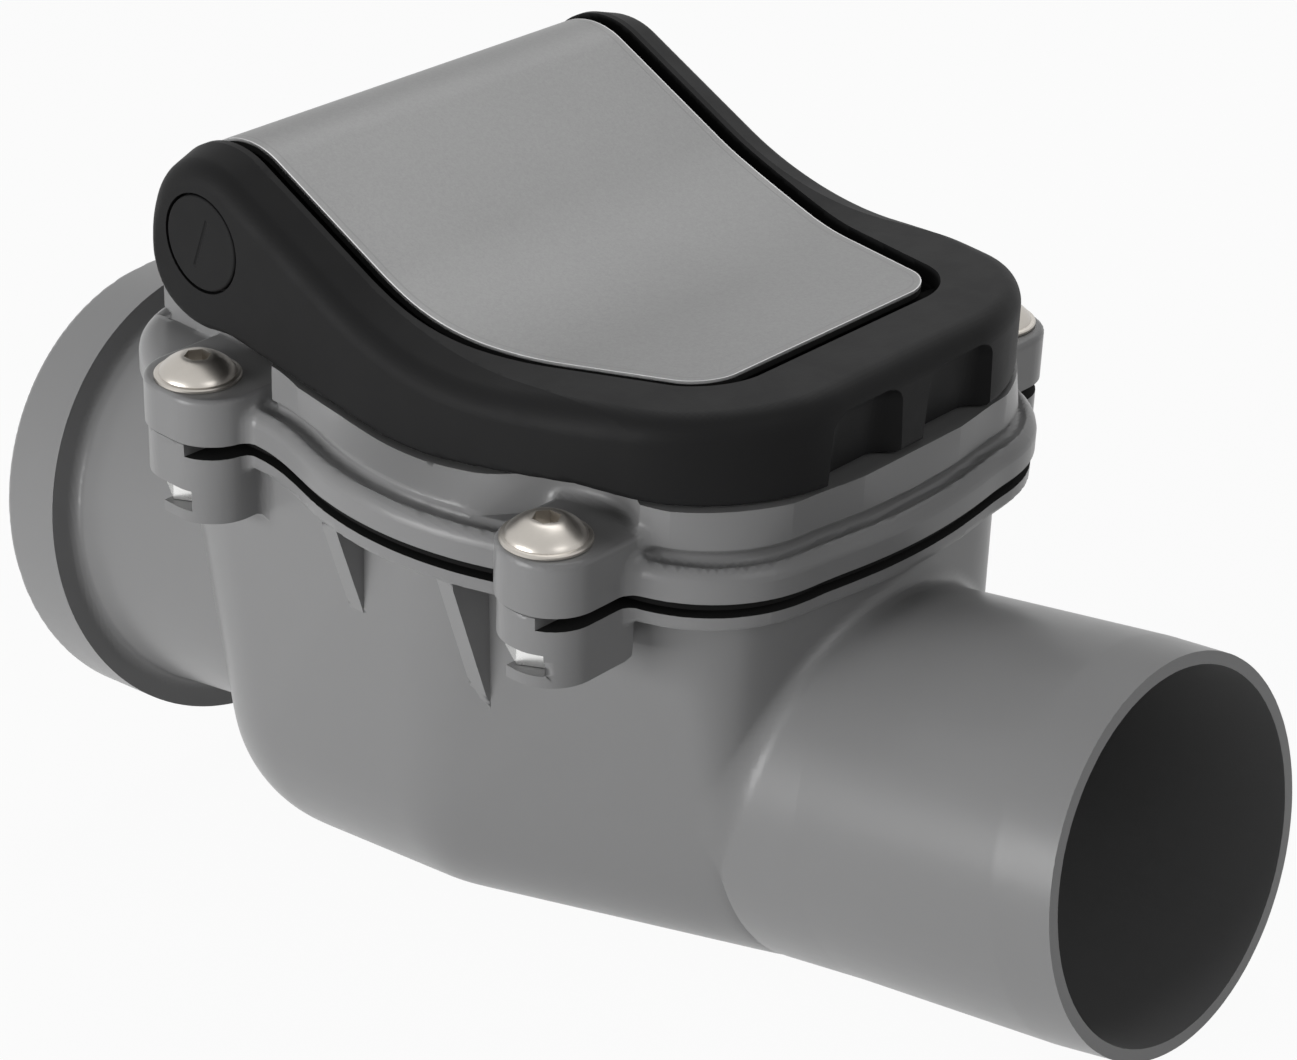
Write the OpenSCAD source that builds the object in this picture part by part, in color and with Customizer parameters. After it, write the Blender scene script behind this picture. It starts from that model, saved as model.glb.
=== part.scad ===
/* [Pipe connections] */
// Outside diameter of the drain pipe, and of the outlet spigot that enters the next socket
pipe_od = 50; // [48:0.5:52]
// Wall of the outlet spigot
spigot_wall = 2; // [1.8:0.1:2.6]
// Radial room between the pipe and the inlet socket
socket_clear = 0.3; // [0.2:0.05:0.4]
// Depth of the inlet socket, from its mouth to the pipe stop
socket_depth = 38; // [34:1:40]
// Outside diameter of the bead around the socket's mouth
bead_od = 66.6; // [65:0.2:70]
// Length of the bead
bead_len = 11.8; // [10:0.2:14]
// Outside diameter of the barrel behind the bead
barrel_od = 58.4; // [57:0.2:61]
// Length from the socket's mouth to the end of the spigot
body_len = 175.2; // [170:0.2:190]
// Drop from the inlet axis to the outlet axis
outlet_drop = 17.5; // [15:0.5:19]
// Length of the turned-down lead at the end of the spigot
spigot_lead = 8; // [5:0.5:10]

/* [Deck] */
// Fall of the flange plane towards the outlet, in degrees
deck_tilt = 10.74; // [8:0.02:12]
// Distance of the middle of the flange from the socket's mouth
deck_x = 89.6; // [88:0.2:92]
// Height of the underside of the cover above the inlet axis, at the middle of the flange
deck_z = 26.3; // [25:0.1:28]
// Radius of the bulging sides of the flange
bulge_r = 46; // [45:0.2:48]
// Radius of the flange's four corners
corner_r = 18; // [16:0.5:20]
// Distance of the rear corners' centres behind the middle of the flange
rear_corner_u = 35.5; // [34:0.5:37]
// Distance of the rear sides inside the widest part of the bulging sides
rear_side_in = 4.5; // [3.5:0.1:5.5]
// Distance of the front corners' centres ahead of the middle of the flange
front_corner_u = 33; // [32:0.5:35]
// Distance of the front sides inside the widest part of the bulging sides
front_side_in = 10; // [8:0.5:12]
// Half of the bolts' spacing along the valve
bolt_u = 30; // [29:0.2:32]
// Distance of the bolts inside the widest part of the bulging sides
bolt_in = 4; // [3:0.2:5]
// Radius of the lugs around the bolts
lug_r = 5.9; // [5.6:0.1:6.4]

/* [Body] */
// Wall of the flap chamber
chamber_wall = 3; // [2.4:0.1:3.4]
// Thickness of the body's flange
body_flange_t = 2.6; // [2.2:0.1:3.4]
// Radius of the chamber's rounded bottom edge
belly_r = 20; // [18:0.5:21]
// Depth of the chamber's bottom below the inlet axis, at its rear
belly_depth = 33; // [32:0.1:34]
// Overhang of the flange beyond the chamber's wall
flange_overhang = 4.6; // [4.2:0.1:5.2]
// Height of the lugs below the gasket
body_lug_h = 8.4; // [8:0.2:11]
// Thickness of the ribs under the flange
rib_t = 2; // [1.6:0.1:2.6]
// Height of the ribs under the flange
rib_h = 16.2; // [14:0.2:17]

/* [Cover] */
// Wall of the cover
cover_wall = 2.4; // [2:0.1:2.8]
// Height of the cover's outer lip
lip_h = 2.4; // [2:0.1:3]
// Height of the rolled bead inside the lip
bead_h = 4.4; // [4:0.1:5]
// Height of the cover's lugs
cover_lug_h = 6.3; // [6:0.1:7]
// Radius of the clear space around each bolt head
head_pocket_r = 10.8; // [10:0.1:11.4]
// Thickness of the gasket
gasket_t = 1.2; // [1:0.1:1.6]

/* [Bolts] */
// Thread diameter of the cover bolts
bolt_d = 5; // [4:0.5:5]
// Diameter of the bolts' flanged button heads
bolt_head_d = 11; // [10:0.1:11.2]
// Height of the bolts' heads
bolt_head_h = 3.3; // [2.8:0.1:3.6]
// Width across the flats of the nuts
nut_af = 8; // [7:0.5:8]
// Thickness of the nuts
nut_t = 2.7; // [2.4:0.1:3]

/* [Lever] */
// Half of the lever's width
lever_half = 39.5; // [39:0.1:40.5]
// Radius of the hood around the pivot
hood_r = 11.4; // [11.2:0.1:11.8]
// Distance of the pivot behind the middle of the flange
pivot_u = 31.7; // [31:0.1:32.4]
// Height of the pivot above the underside of the cover
pivot_w = 22.8; // [22.4:0.1:23.4]
// Fall of the hood behind its dip, in degrees
hood_fall = 26; // [24:0.5:28]
// Length of the straight fall
fall_len = 19.8; // [19:0.1:20.6]
// Radius of the dip
dip_r = 49; // [46:0.5:52]
// Rise of the hood ahead of its dip, in degrees
front_rise = 5.5; // [4.5:0.5:6.5]
// Reach of the lever ahead of the middle of the flange
lever_front = 49.6; // [48:0.2:50]
// Height of the front skirt's lower edge above the underside of the cover
skirt_w = 10.9; // [10.4:0.1:11.4]
// Height of the cheeks' lower edge at its lowest point
cheek_low_w = 6.8; // [6.7:0.1:7.4]
// Fall of the cheeks' lower edge from the pivot, in degrees
cheek_fall = 9; // [8:0.5:9.5]
// Rise of the cheeks' lower edge to the front, in degrees
cheek_rise = 8.5; // [7.5:0.5:9]
// Width of the groove around the plate
plate_gap = 2.7; // [2.2:0.1:3]
// Half of the plate's width
plate_half = 31; // [30:0.1:31.4]
// Reach of the plate ahead of the middle of the flange
plate_front = 36; // [35:0.2:37]
// Thickness of the plate
plate_t = 1.2; // [1:0.1:1.4]
// Diameter of the pivot caps
cap_d = 13.6; // [13:0.1:14]
// Swing of the lever from lying down to locked, in degrees
lever_swing = 90; // [88:0.5:92]

/* [Flap] */
// Distance of the seat from the socket's mouth
seat_x = 54; // [53:0.2:55]
// Bore of the seat
seat_bore = 46; // [44:0.2:46]
// Diameter of the flap
flap_d = 54; // [53:0.2:55]
// Thickness of the flap's disc
flap_t = 3.6; // [3:0.1:4]
// Thickness of the flap's seal
seal_t = 2; // [1.6:0.1:2.4]
// Diameter of the flap's hinge pin
hinge_pin_d = 4; // [3.6:0.1:4.2]
// Distance from the axle to the hinge pin
hinge_reach = 16.1; // [16:0.1:16.6]
// Reach of the heel from the hinge pin
heel_len = 10.8; // [10.4:0.1:11]

/* [Clearances] */
// Room between pieces that move past each other
move_gap = 0.5; // [0.4:0.05:0.6]
// Radial room of a turning fit
turn_clear = 0.05; // [0.03:0.01:0.08]
// Radial room of a bolt in its hole
bolt_clear = 0.25; // [0.2:0.05:0.3]
// Room around a piece that is set into a pocket
set_clear = 0.1; // [0.05:0.01:0.15]
// Room between the flap's seal and its seat at rest
seal_gap = 0.3; // [0.2:0.05:0.4]

/* [Hidden] */
$fn = 96;

eps = 0.01;
far = 200;
SIDES = [-1, 1];

grey = [0.52, 0.53, 0.54];
black = [0.1, 0.1, 0.1];
silver = [0.72, 0.72, 0.72];
steel = [0.75, 0.73, 0.7];
brass = [0.75, 0.6, 0.3];
rubber = [0.05, 0.05, 0.05];

// Pipe connections
pipe_r = pipe_od / 2;
spigot_bore_r = pipe_r - spigot_wall;
socket_r = pipe_r + socket_clear;
lead_drop = 0.4;
root_r = pipe_r + 0.3;
root_lap = 0.3;
bead_round = 2;
groove_from = 3;
groove_len = 6;
groove_deep = 4.4;
seat_r = seat_bore / 2;
stub_r = seat_r + 4;

// Deck outline, measured along the tilted flange from its middle
bulge_u = 5;
rear_corner_v = bulge_r - corner_r - rear_side_in;
front_corner_v = bulge_r - corner_r - front_side_in;
bolt_v = bulge_r - bolt_in;
front_arc_r = 85;
front_reach = front_corner_u + corner_r + 1.8;
wall_inset = 2.4;
lug_fillet_r = 4;
pad_u = 3.2;
pad_v = 1;
gasket_inset = 0.9;
gasket_w = 4.2;
body_inset = 0.4;
body_top = -gasket_t;
body_under = body_top - body_flange_t;

// Chamber bottom
belly_z = belly_r - belly_depth;
belly_rear_x = 61.6;
belly_y = bulge_r - flange_overhang - belly_r - 1.4;
belly_mid_x = 86;
belly_mid_drop = 1.4;
spigot_root_x = 126;
spigot_wall_x = spigot_root_x + 12;
rib_us = [-2.2, 17.3];
rib_foot = 0.8;

// Bolts
bolt_r = bolt_d / 2;
nut_seat = body_top - body_lug_h + nut_t + 0.9;
bolt_tip = nut_seat - nut_t - 1;
bolt_socket_r = 1.8;

// Lever side profile, in the plane of the flange's length and height
pivot = [-pivot_u, pivot_w];
skin_rear = 132;
skin_t = 3.1;
recess_d = 1.5;
plate_sunk = recess_d - plate_t;
arm_inner = 31.5;
housing_half = arm_inner - move_gap;
housing_wall = 1.3;
housing_front_u = -4;
housing_rear_u = -42.5;
bar_u = 40.5;
low_u = 5.4;
low_r = 25;
taper_u = -2;
lever_taper_r = 132;
lever_corner_r = 21;
plate_taper_r = 65;
plate_corner_r = 6;
cheek_t = 3;
scallop_r = 8;
scallop_v = 8.8;
scallop_deep = 2;
scallop_lean = 9;
fall_dir = [cos(hood_fall), -sin(hood_fall)];
fall_normal = [sin(hood_fall), cos(hood_fall)];
dip_centre = pivot + hood_r * fall_normal + fall_len * fall_dir + dip_r * fall_normal;

// Pivot
axle_r = 3.5;
axle_square = 4.9;
bush_r = 5.2;
lip_in = housing_half - 5;
bore_in = lip_in + 1.2;
bush_len = 2;
o_ring_t = 0.78;
boss_r = hood_r - skin_t - 1;
web_out = arm_inner + 3.8;
cap_t = 1.5;
cap_floor = lever_half - cap_t - set_clear;
cap_mark = 0.3;
screw_recess_r = 5.2;
axle_end = web_out - 0.3;
washer_r = 4.6;
washer_t = 0.8;
screw_head_r = 3.6;
screw_r = 1.6;
screw_len = 9;

// Locking cam: it points back and down while the lever lies, and ahead while it is raised
cam_rest = 258;
cam_len = 9.5;
cam_half = 1.4;
cam_width = 7;
cam_hub_r = 4.4;
cam_pin_r = 1;
cam_pin_turn = cam_rest + 90;
hinge_dir = cam_rest + lever_swing - 27;
hinge = pivot + hinge_reach * [cos(hinge_dir), sin(hinge_dir)];
hinge_x = deck_x + hinge[0] * cos(deck_tilt) + hinge[1] * sin(deck_tilt);
hinge_z = deck_z - hinge[0] * sin(deck_tilt) + hinge[1] * cos(deck_tilt);
hinge_pin_r = hinge_pin_d / 2;
hub_r = hinge_pin_r + 2.4;
hub_half = 6;
ear_in = hub_half + 0.4;
ear_t = 3.6;
ear_out = ear_in + ear_t;
heel_angle = hinge_dir - 225.7 - deck_tilt;
heel_half = 2.1;
clip_t = 0.7;
clip_r = 3.8;
clip_neck = 1.6;
clip_v = ear_out + 0.2;
pin_end = clip_v + clip_t + 1;

// Flap
flap_r = flap_d / 2;
seal_face = seat_x + seal_gap;
disc_back = seal_face + seal_t;
disc_front = disc_back + flap_t;
seal_in = 17;
retainer_r = seat_r - 1.8;
retainer_t = 1.4;
retainer_screw_ring = 12;
retainer_screw_r = 1.25;
retainer_screws_n = 4;
flap_rib_t = 3;

// Helpers
function arc(centre, r, from, to, steps) =
    [for (i = [0:steps]) let (a = from + (to - from) * i / steps) centre + r * [cos(a), sin(a)]];

// The top of the hood, moved down by d, from the rear of the pivot to past the front
function hood_line(d, rear) = concat(
    rear > skin_rear ? arc(pivot, hood_r - d, rear, skin_rear, 4) : [],
    arc(pivot, hood_r - d, min(rear, skin_rear), 90 - hood_fall, 12),
    arc(dip_centre, dip_r + d, 270 - hood_fall, 270 + front_rise, 10),
    [dip_centre + (dip_r + d) * [sin(front_rise), -cos(front_rise)] + 50 * [cos(front_rise), sin(front_rise)]]
);

// The lower edge of the lever's cheeks, moved down by d, from the pivot to past the front
function low_line(d) =
    let (
        bend = arc([low_u, cheek_low_w + low_r], low_r, 270 - cheek_fall, 270 + cheek_rise, 8),
        rise_len = (skirt_w - bend[8][1]) / tan(cheek_rise)
    ) [for (p = concat(
        [[-pivot_u, bend[0][1] + (bend[0][0] + pivot_u) * tan(cheek_fall)]], bend,
        [[bend[8][0] + rise_len, skirt_w], [lever_front + 20, skirt_w]]
    )) p - [0, d]];

module on_deck() {
    translate([deck_x, 0, deck_z]) rotate([0, deck_tilt, 0]) children();
}

// Extrudes a side profile across the valve
module across(width) {
    rotate([90, 0, 0]) linear_extrude(width, center = true) children();
}

// Lies a shape turned about Z along the valve's length
module along_x(x = 0, z = 0) {
    translate([x, 0, z]) rotate([90, 0, 90]) children();
}

// Stands a shape on the lever's pivot line, facing out to one side
module on_pivot(side, from) {
    translate([pivot[0], side * from, pivot[1]]) rotate([side > 0 ? -90 : 90, 0, 0]) children();
}

module at_bolts() {
    for (su = SIDES, sv = SIDES) translate([su * bolt_u, sv * bolt_v]) children();
}

// The flange's plan outline without its lugs
module deck_outline(inset) {
    r = corner_r - inset;
    translate([bulge_u, 0]) circle(r = bulge_r - inset);
    for (s = SIDES) {
        translate([-rear_corner_u, s * rear_corner_v]) circle(r = r);
        translate([front_corner_u, s * front_corner_v]) circle(r = r);
    }
    translate([-rear_corner_u, -rear_corner_v - r]) square([rear_corner_u, 2 * (rear_corner_v + r)]);
    translate([-rear_corner_u - r, -rear_corner_v]) square([rear_corner_u + r, 2 * rear_corner_v]);
    translate([0, -front_corner_v - r]) square([front_corner_u, 2 * (front_corner_v + r)]);
    intersection() {
        translate([front_reach - front_arc_r, 0]) circle(r = front_arc_r - inset);
        translate([0, -front_corner_v]) square([far, 2 * front_corner_v]);
    }
}

// The lugs around the bolts, reaching in to the flange
module lug_outline(inset) {
    r = lug_r - inset;
    for (su = SIDES, sv = SIDES) {
        translate([su * bolt_u, sv * bolt_v]) circle(r = r);
        translate([su * bolt_u - r, sv > 0 ? 0 : -bolt_v]) square([2 * r, bolt_v]);
        for (flank = SIDES) translate([su * bolt_u, sv * (lug_foot(su, flank) - inset)]) scale([flank, sv])
            translate([r, 0]) hollow_corner(lug_fillet_r);
    }
}

// Distance from the midline to the flange's edge beside a lug
function lug_foot(su, flank) =
    su < 0 ? rear_corner_v + corner_r - (flank < 0 ? 0.5 : 0)
    : flank > 0 ? bolt_v - lug_r - 0.3
    : sqrt(pow(bulge_r, 2) - pow(bolt_u - lug_r - lug_fillet_r / 2 - bulge_u, 2));

// A hollow corner of radius r between two faces
module hollow_corner(r) {
    translate([-eps, 0]) difference() {
        square(r);
        translate([r, r]) circle(r = r);
    }
}

// The cover's plan outline inside its rolled bead, with room around the bolt heads
module cover_plan(inset) {
    difference() {
        deck_outline(wall_inset + inset);
        at_bolts() circle(r = head_pocket_r + inset);
    }
}

// The chamber as one rounded bucket, moved in by inset
module chamber(inset, top) {
    hull() {
        on_deck() translate([0, 0, body_under]) linear_extrude(top - body_under)
            deck_outline(flange_overhang + inset, $fn = 48);
        for (s = SIDES) {
            translate([belly_rear_x, s * belly_y, belly_z]) sphere(r = belly_r - inset, $fn = 40);
            translate([belly_mid_x, s * belly_y, belly_z - belly_mid_drop])
                sphere(r = belly_r - inset, $fn = 40);
        }
        along_x(spigot_root_x - inset, -outlet_drop) cylinder(r = root_r - inset, h = root_lap, $fn = 64);
    }
}

// One triangular rib under the flange, on one side
module flange_rib(u, side) {
    reach = sqrt(pow(bulge_r, 2) - pow(u - bulge_u, 2)) - body_inset;
    low = body_under - rib_h;
    translate([u, 0, 0]) rotate([90, 0, 90]) linear_extrude(rib_t, center = true) polygon([
        [side * (reach - 12), body_under], [side * (reach - 0.2), body_under],
        [side * (reach - flange_overhang - rib_foot), low], [side * (reach - 12), low]
    ]);
}

// Socket bead, barrel and the stub that carries the seat
module inlet_neck() {
    bead_r = bead_od / 2;
    barrel_r = barrel_od / 2;
    along_x() rotate_extrude() union() {
        square([bead_r - bead_round, bead_len]);
        translate([0, bead_round]) square([bead_r, bead_len - 2 * bead_round]);
        for (y = [bead_round, bead_len - bead_round])
            translate([bead_r - bead_round, y]) circle(r = bead_round);
        translate([0, eps]) square([barrel_r, socket_depth + chamber_wall]);
        translate([barrel_r, bead_len - eps]) hollow_corner(bead_r - bead_round - barrel_r);
        square([stub_r, seat_x]);
    }
}

module inlet_bores() {
    along_x(-eps) cylinder(r = socket_r, h = socket_depth + eps);
    along_x() cylinder(r = seat_r, h = seat_x + eps);
    along_x(groove_from) cylinder(r = socket_r + groove_deep, h = groove_len);
}

// The spigot, with a slight draft at its root and a lead at its end
module spigot_outer() {
    start = spigot_root_x + root_lap / 2;
    end = body_len - start;
    along_x(start, -outlet_drop) rotate_extrude() polygon([
        [0, 0], [root_r - 0.05, 0], [pipe_r, spigot_wall_x - start],
        [pipe_r, end - spigot_lead], [pipe_r - lead_drop, end], [0, end]
    ]);
}

// Raised pads on the lugs' outer ends, which stop the cover's lugs
module lug_pads() {
    intersection() {
        lug_outline(body_inset);
        at_bolts() translate([pad_u - 2 * lug_r, 0])
            for (s = SIDES) translate([0, s > 0 ? pad_v : -far - pad_v]) square([2 * lug_r, far]);
        difference() {
            square(2 * far, center = true);
            square([2 * far, 2 * bolt_v], center = true);
        }
    }
}

// Bolt hole and the side-open notch for its nut, in one of the body's lugs
module nut_notch(sv) {
    notch_half = nut_af / 2 + set_clear;
    translate([0, 0, body_top - body_lug_h - eps]) cylinder(r = bolt_r + bolt_clear, h = far);
    translate([-notch_half, sv > 0 ? -nut_af * 0.6 : -far + nut_af * 0.6, body_top - body_lug_h - 3])
        cube([2 * notch_half, far, nut_seat - body_top + body_lug_h + 3]);
}

module valve_body() {
    color(grey) difference() {
        union() {
            difference() {
                union() {
                    chamber(0, body_top);
                    spigot_outer();
                    on_deck() {
                        translate([0, 0, body_under]) linear_extrude(body_flange_t) deck_outline(body_inset);
                        translate([0, 0, body_top - body_lug_h]) linear_extrude(body_lug_h)
                            lug_outline(body_inset);
                        translate([0, 0, body_top - eps]) linear_extrude(gasket_t - set_clear) lug_pads();
                        for (u = rib_us, s = SIDES) flange_rib(u, s);
                    }
                }
                chamber(chamber_wall, body_top + 1);
            }
            inlet_neck();
        }
        inlet_bores();
        along_x(spigot_root_x - 2 * chamber_wall, -outlet_drop) cylinder(r = spigot_bore_r, h = body_len);
        on_deck() for (su = SIDES, sv = SIDES) translate([su * bolt_u, sv * bolt_v]) nut_notch(sv);
    }
}

module inlet_lip_seal() {
    inner = socket_r + set_clear / 2;
    outer = socket_r + groove_deep - set_clear;
    color(rubber) along_x(groove_from + set_clear) rotate_extrude() polygon([
        [outer, 0], [outer, groove_len - 2 * set_clear], [outer - 1.6, groove_len - 2 * set_clear],
        [inner, groove_len - 1.6], [inner, groove_len - 2.8], [outer - 2, 1.8], [outer - 2, 0]
    ]);
}

// Side profile of the cover's roof, under the lever's lower edge, moved down by d
module roof_profile(d) {
    line = low_line(move_gap + d);
    top = pivot_w - hood_r - move_gap - d;
    flat_u = line[0][0] + (line[0][1] - top) / tan(cheek_fall);
    polygon(concat(
        [[-far, -1], [-far, top], [flat_u, top]],
        [for (p = line) if (p[0] > flat_u) p], [[lever_front + 20, -1]]
    ));
}

// Side profile of the housing around the axle, moved in by d
module housing_profile(d) {
    rear_out = 46;
    front_u = housing_front_u - d;
    rear_u = housing_rear_u + d;
    r = boss_r - d;
    slope_top = pivot + r * fall_normal;
    tail_dir = [cos(180 + rear_out), sin(180 + rear_out)];
    tail_in = [-tail_dir[1], tail_dir[0]];
    tail = pivot + d * tail_in;
    tail_u = rear_u + 1.5;
    translate(pivot) circle(r = r);
    polygon([
        slope_top, slope_top + (front_u - slope_top[0]) / fall_dir[0] * fall_dir, [front_u, -1], [rear_u, -1],
        [rear_u, pivot_w - 10.7 - d], tail + (tail_u - tail[0]) / tail_dir[0] * tail_dir, tail
    ]);
}

// One ear that hangs from the housing and carries the hinge pin
module hinge_ear(side) {
    root_w = hinge[1] + 4;
    translate([0, side * (ear_in + ear_t / 2), 0]) across(ear_t) {
        translate(hinge) circle(r = hub_r);
        polygon([
            hinge + [-hub_r * 0.7, hub_r * 0.7], hinge + [hub_r * 0.7, -hub_r * 0.7],
            [housing_front_u - eps, root_w - 7], [housing_front_u - eps, root_w]
        ]);
    }
}

module cover_solid() {
    hull() for (i = [0:4]) linear_extrude(lip_h + (bead_h - lip_h) * sin(22.5 * i))
        deck_outline((bead_h - lip_h) * (1 - cos(22.5 * i)), $fn = 48);
    linear_extrude(cover_lug_h) lug_outline(0);
    intersection() {
        linear_extrude(far) cover_plan(0);
        across(far) roof_profile(0);
    }
    across(2 * housing_half) housing_profile(0);
}

module cover_hollow() {
    intersection() {
        translate([0, 0, -1]) linear_extrude(far) cover_plan(cover_wall);
        across(far) roof_profile(cover_wall);
    }
    across(2 * lip_in) housing_profile(housing_wall);
}

module cover() {
    color(grey) on_deck() difference() {
        union() {
            difference() {
                cover_solid();
                cover_hollow();
            }
            for (s = SIDES) hinge_ear(s);
        }
        at_bolts() {
            translate([0, 0, -eps]) cylinder(r = bolt_r + bolt_clear, h = cover_lug_h + 1);
            translate([0, 0, cover_lug_h]) cylinder(r = head_pocket_r, h = far);
        }
        for (s = SIDES) {
            on_pivot(s, lip_in - 1) cylinder(r = axle_r + 0.4, h = far);
            on_pivot(s, bore_in) cylinder(r = bush_r + set_clear / 2, h = far);
        }
        translate([hinge[0], 0, hinge[1]]) rotate([90, 0, 0])
            cylinder(r = hinge_pin_r + turn_clear, h = 2 * ear_out + 1, center = true);
    }
}

module cover_gasket() {
    color(rubber) on_deck() translate([0, 0, -gasket_t]) linear_extrude(gasket_t) difference() {
        deck_outline(gasket_inset);
        deck_outline(gasket_inset + gasket_w);
        at_bolts() circle(r = bolt_r + 1);
    }
}

module cover_bolts() {
    rim_h = 0.8;
    dome_r = bolt_head_d / 2 - 0.6;
    color(steel) on_deck() at_bolts() difference() {
        rotate_extrude() polygon(concat(
            [[0, bolt_tip], [bolt_r - 0.5, bolt_tip], [bolt_r, bolt_tip + 0.5], [bolt_r, cover_lug_h]],
            [[bolt_head_d / 2, cover_lug_h], [bolt_head_d / 2, cover_lug_h + rim_h]],
            [for (i = [0:6]) let (a = 15 * i)
                [bolt_socket_r + 0.6 + (dome_r - bolt_socket_r - 0.6) * cos(a),
                 cover_lug_h + rim_h + (bolt_head_h - rim_h) * sin(a)]],
            [[0, cover_lug_h + bolt_head_h]]
        ));
        translate([0, 0, cover_lug_h + bolt_head_h - 2])
            cylinder(r = bolt_socket_r * 2 / sqrt(3), h = 3, $fn = 6);
    }
}

module cover_nuts() {
    color(steel) on_deck() at_bolts() translate([0, 0, nut_seat - nut_t]) difference() {
        rotate(30) cylinder(r = nut_af / sqrt(3), h = nut_t, $fn = 6);
        translate([0, 0, -1]) cylinder(r = bolt_r + turn_clear, h = nut_t + 2);
    }
}

// A plan outline with straight rear sides, sides that draw in ahead of taper_u, and a rounded front
module tapered_plan(half, taper_r, front, corner, grow) {
    side_v = taper_r - half;
    corner_u = front - corner;
    corner_v = sqrt(pow(taper_r - corner, 2) - pow(corner_u - taper_u, 2)) - side_v;
    outward = [corner_u - taper_u, corner_v + side_v] / (taper_r - corner);
    intersection() {
        union() {
            translate([-far, -half - grow]) square([far + taper_u, 2 * (half + grow)]);
            intersection_for(s = SIDES) translate([taper_u, s * side_v]) circle(r = taper_r + grow);
        }
        union() {
            translate([-far, -far]) square([far + corner_u, 2 * far]);
            translate([0, -corner_v]) square([front + grow, 2 * corner_v]);
            for (s = [0, 1]) mirror([0, s]) {
                translate([corner_u, corner_v]) circle(r = corner + grow);
                translate([corner_u, corner_v]) polygon([[0, 0], far * outward, [0, far]]);
            }
        }
    }
}

module lever_plan(inset) {
    tapered_plan(lever_half, lever_taper_r, lever_front, lever_corner_r, -inset);
}

module plate_plan(grow) {
    tapered_plan(plate_half, plate_taper_r, plate_front, plate_corner_r, grow);
}

// A band of the hood between two depths below its top
module hood_band(from_d, to_d, rear) {
    outer = hood_line(from_d, rear);
    inner = hood_line(to_d, rear);
    polygon(concat(outer, [for (i = [len(inner) - 1:-1:0]) inner[i]]));
}

module lever_side() {
    top = hood_line(0, 90);
    low = low_line(0);
    translate(pivot) circle(r = hood_r);
    polygon(concat(low, [for (i = [len(top) - 1:-1:0]) top[i]]));
}

module finger_scallops() {
    for (s = SIDES)
        translate([lever_front + scallop_r - scallop_deep, s * scallop_v, skirt_w])
            rotate([0, scallop_lean, 0]) cylinder(r = scallop_r, h = 40, center = true);
}

module lever() {
    color(black) on_deck() difference() {
        intersection() {
            across(far) lever_side();
            linear_extrude(far) lever_plan(0);
        }
        intersection() {
            across(2 * arm_inner) difference() {
                translate([-far, -far]) square([far + bar_u, 2 * far]);
                hood_band(-1, skin_t, skin_rear);
            }
            translate([0, 0, -far]) linear_extrude(2 * far) lever_plan(cheek_t);
        }
        intersection() {
            across(far) hood_band(-9, recess_d, skin_rear + 20);
            linear_extrude(far) plate_plan(plate_gap);
        }
        finger_scallops();
        for (s = SIDES) {
            on_pivot(s, cap_floor) cylinder(r = cap_d / 2 + set_clear, h = 5);
            on_pivot(s, web_out) cylinder(r = screw_recess_r, h = 10);
            on_pivot(s, arm_inner - 1) translate([0, 0, 5])
                cube([axle_square + 2 * set_clear, axle_square + 2 * set_clear, 14], center = true);
        }
    }
}

module lever_plate() {
    color(silver) on_deck() intersection() {
        across(far) hood_band(plate_sunk, recess_d, skin_rear);
        linear_extrude(far) plate_plan(0);
    }
}

// A pivot cap: a flush disc with a fine line across it
module pivot_cap(side) {
    color(black) on_deck() on_pivot(side, cap_floor) difference() {
        cylinder(r = cap_d / 2, h = cap_t);
        translate([0, 0, cap_t]) rotate(side * 25) cube([cap_mark, cap_d * 0.8, cap_mark], center = true);
    }
}

module pivot_cap_left() { pivot_cap(-1); }
module pivot_cap_right() { pivot_cap(1); }

module lever_axle() {
    round_half = housing_half + move_gap / 2;
    color(brass) on_deck() translate([pivot[0], 0, pivot[1]]) rotate([90, 0, 0]) difference() {
        union() {
            cylinder(r = axle_r, h = 2 * round_half, center = true);
            cube([axle_square, axle_square, 2 * axle_end], center = true);
        }
        for (s = SIDES) translate([0, 0, s * (axle_end - screw_len / 2)])
            cylinder(r = screw_r + turn_clear, h = screw_len + eps, center = true);
        rotate([0, 90, cam_pin_turn]) cylinder(r = cam_pin_r + turn_clear, h = 4 * axle_r, center = true);
    }
}

module axle_washers() {
    color(steel) on_deck() for (s = SIDES) on_pivot(s, web_out) difference() {
        cylinder(r = washer_r, h = washer_t);
        translate([0, 0, -1]) cylinder(r = screw_r + set_clear, h = washer_t + 2);
    }
}

module axle_screws() {
    head_from = web_out + washer_t;
    color(steel) on_deck() for (s = SIDES) on_pivot(s, head_from) difference() {
        union() {
            cylinder(r = screw_head_r, h = cap_floor - head_from - 0.3);
            translate([0, 0, axle_end - screw_len + 1 - head_from])
                cylinder(r = screw_r, h = head_from - axle_end + screw_len);
        }
        translate([0, 0, cap_floor - head_from - 1.1]) cylinder(r = 1.4, h = 5, $fn = 6);
    }
}

module axle_bush(side) {
    color(brass) on_deck() on_pivot(side, housing_half - bush_len) difference() {
        cylinder(r = bush_r, h = bush_len);
        translate([0, 0, -1]) cylinder(r = axle_r + turn_clear, h = bush_len + 2);
    }
}

module axle_bush_left() { axle_bush(-1); }
module axle_bush_right() { axle_bush(1); }

module axle_o_ring(side) {
    color(rubber) on_deck() on_pivot(side, housing_half - bush_len - o_ring_t - set_clear)
        rotate_extrude() translate([(axle_r + bush_r) / 2, 0]) circle(r = o_ring_t, $fn = 32);
}

module axle_o_ring_left() { axle_o_ring(-1); }
module axle_o_ring_right() { axle_o_ring(1); }

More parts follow.
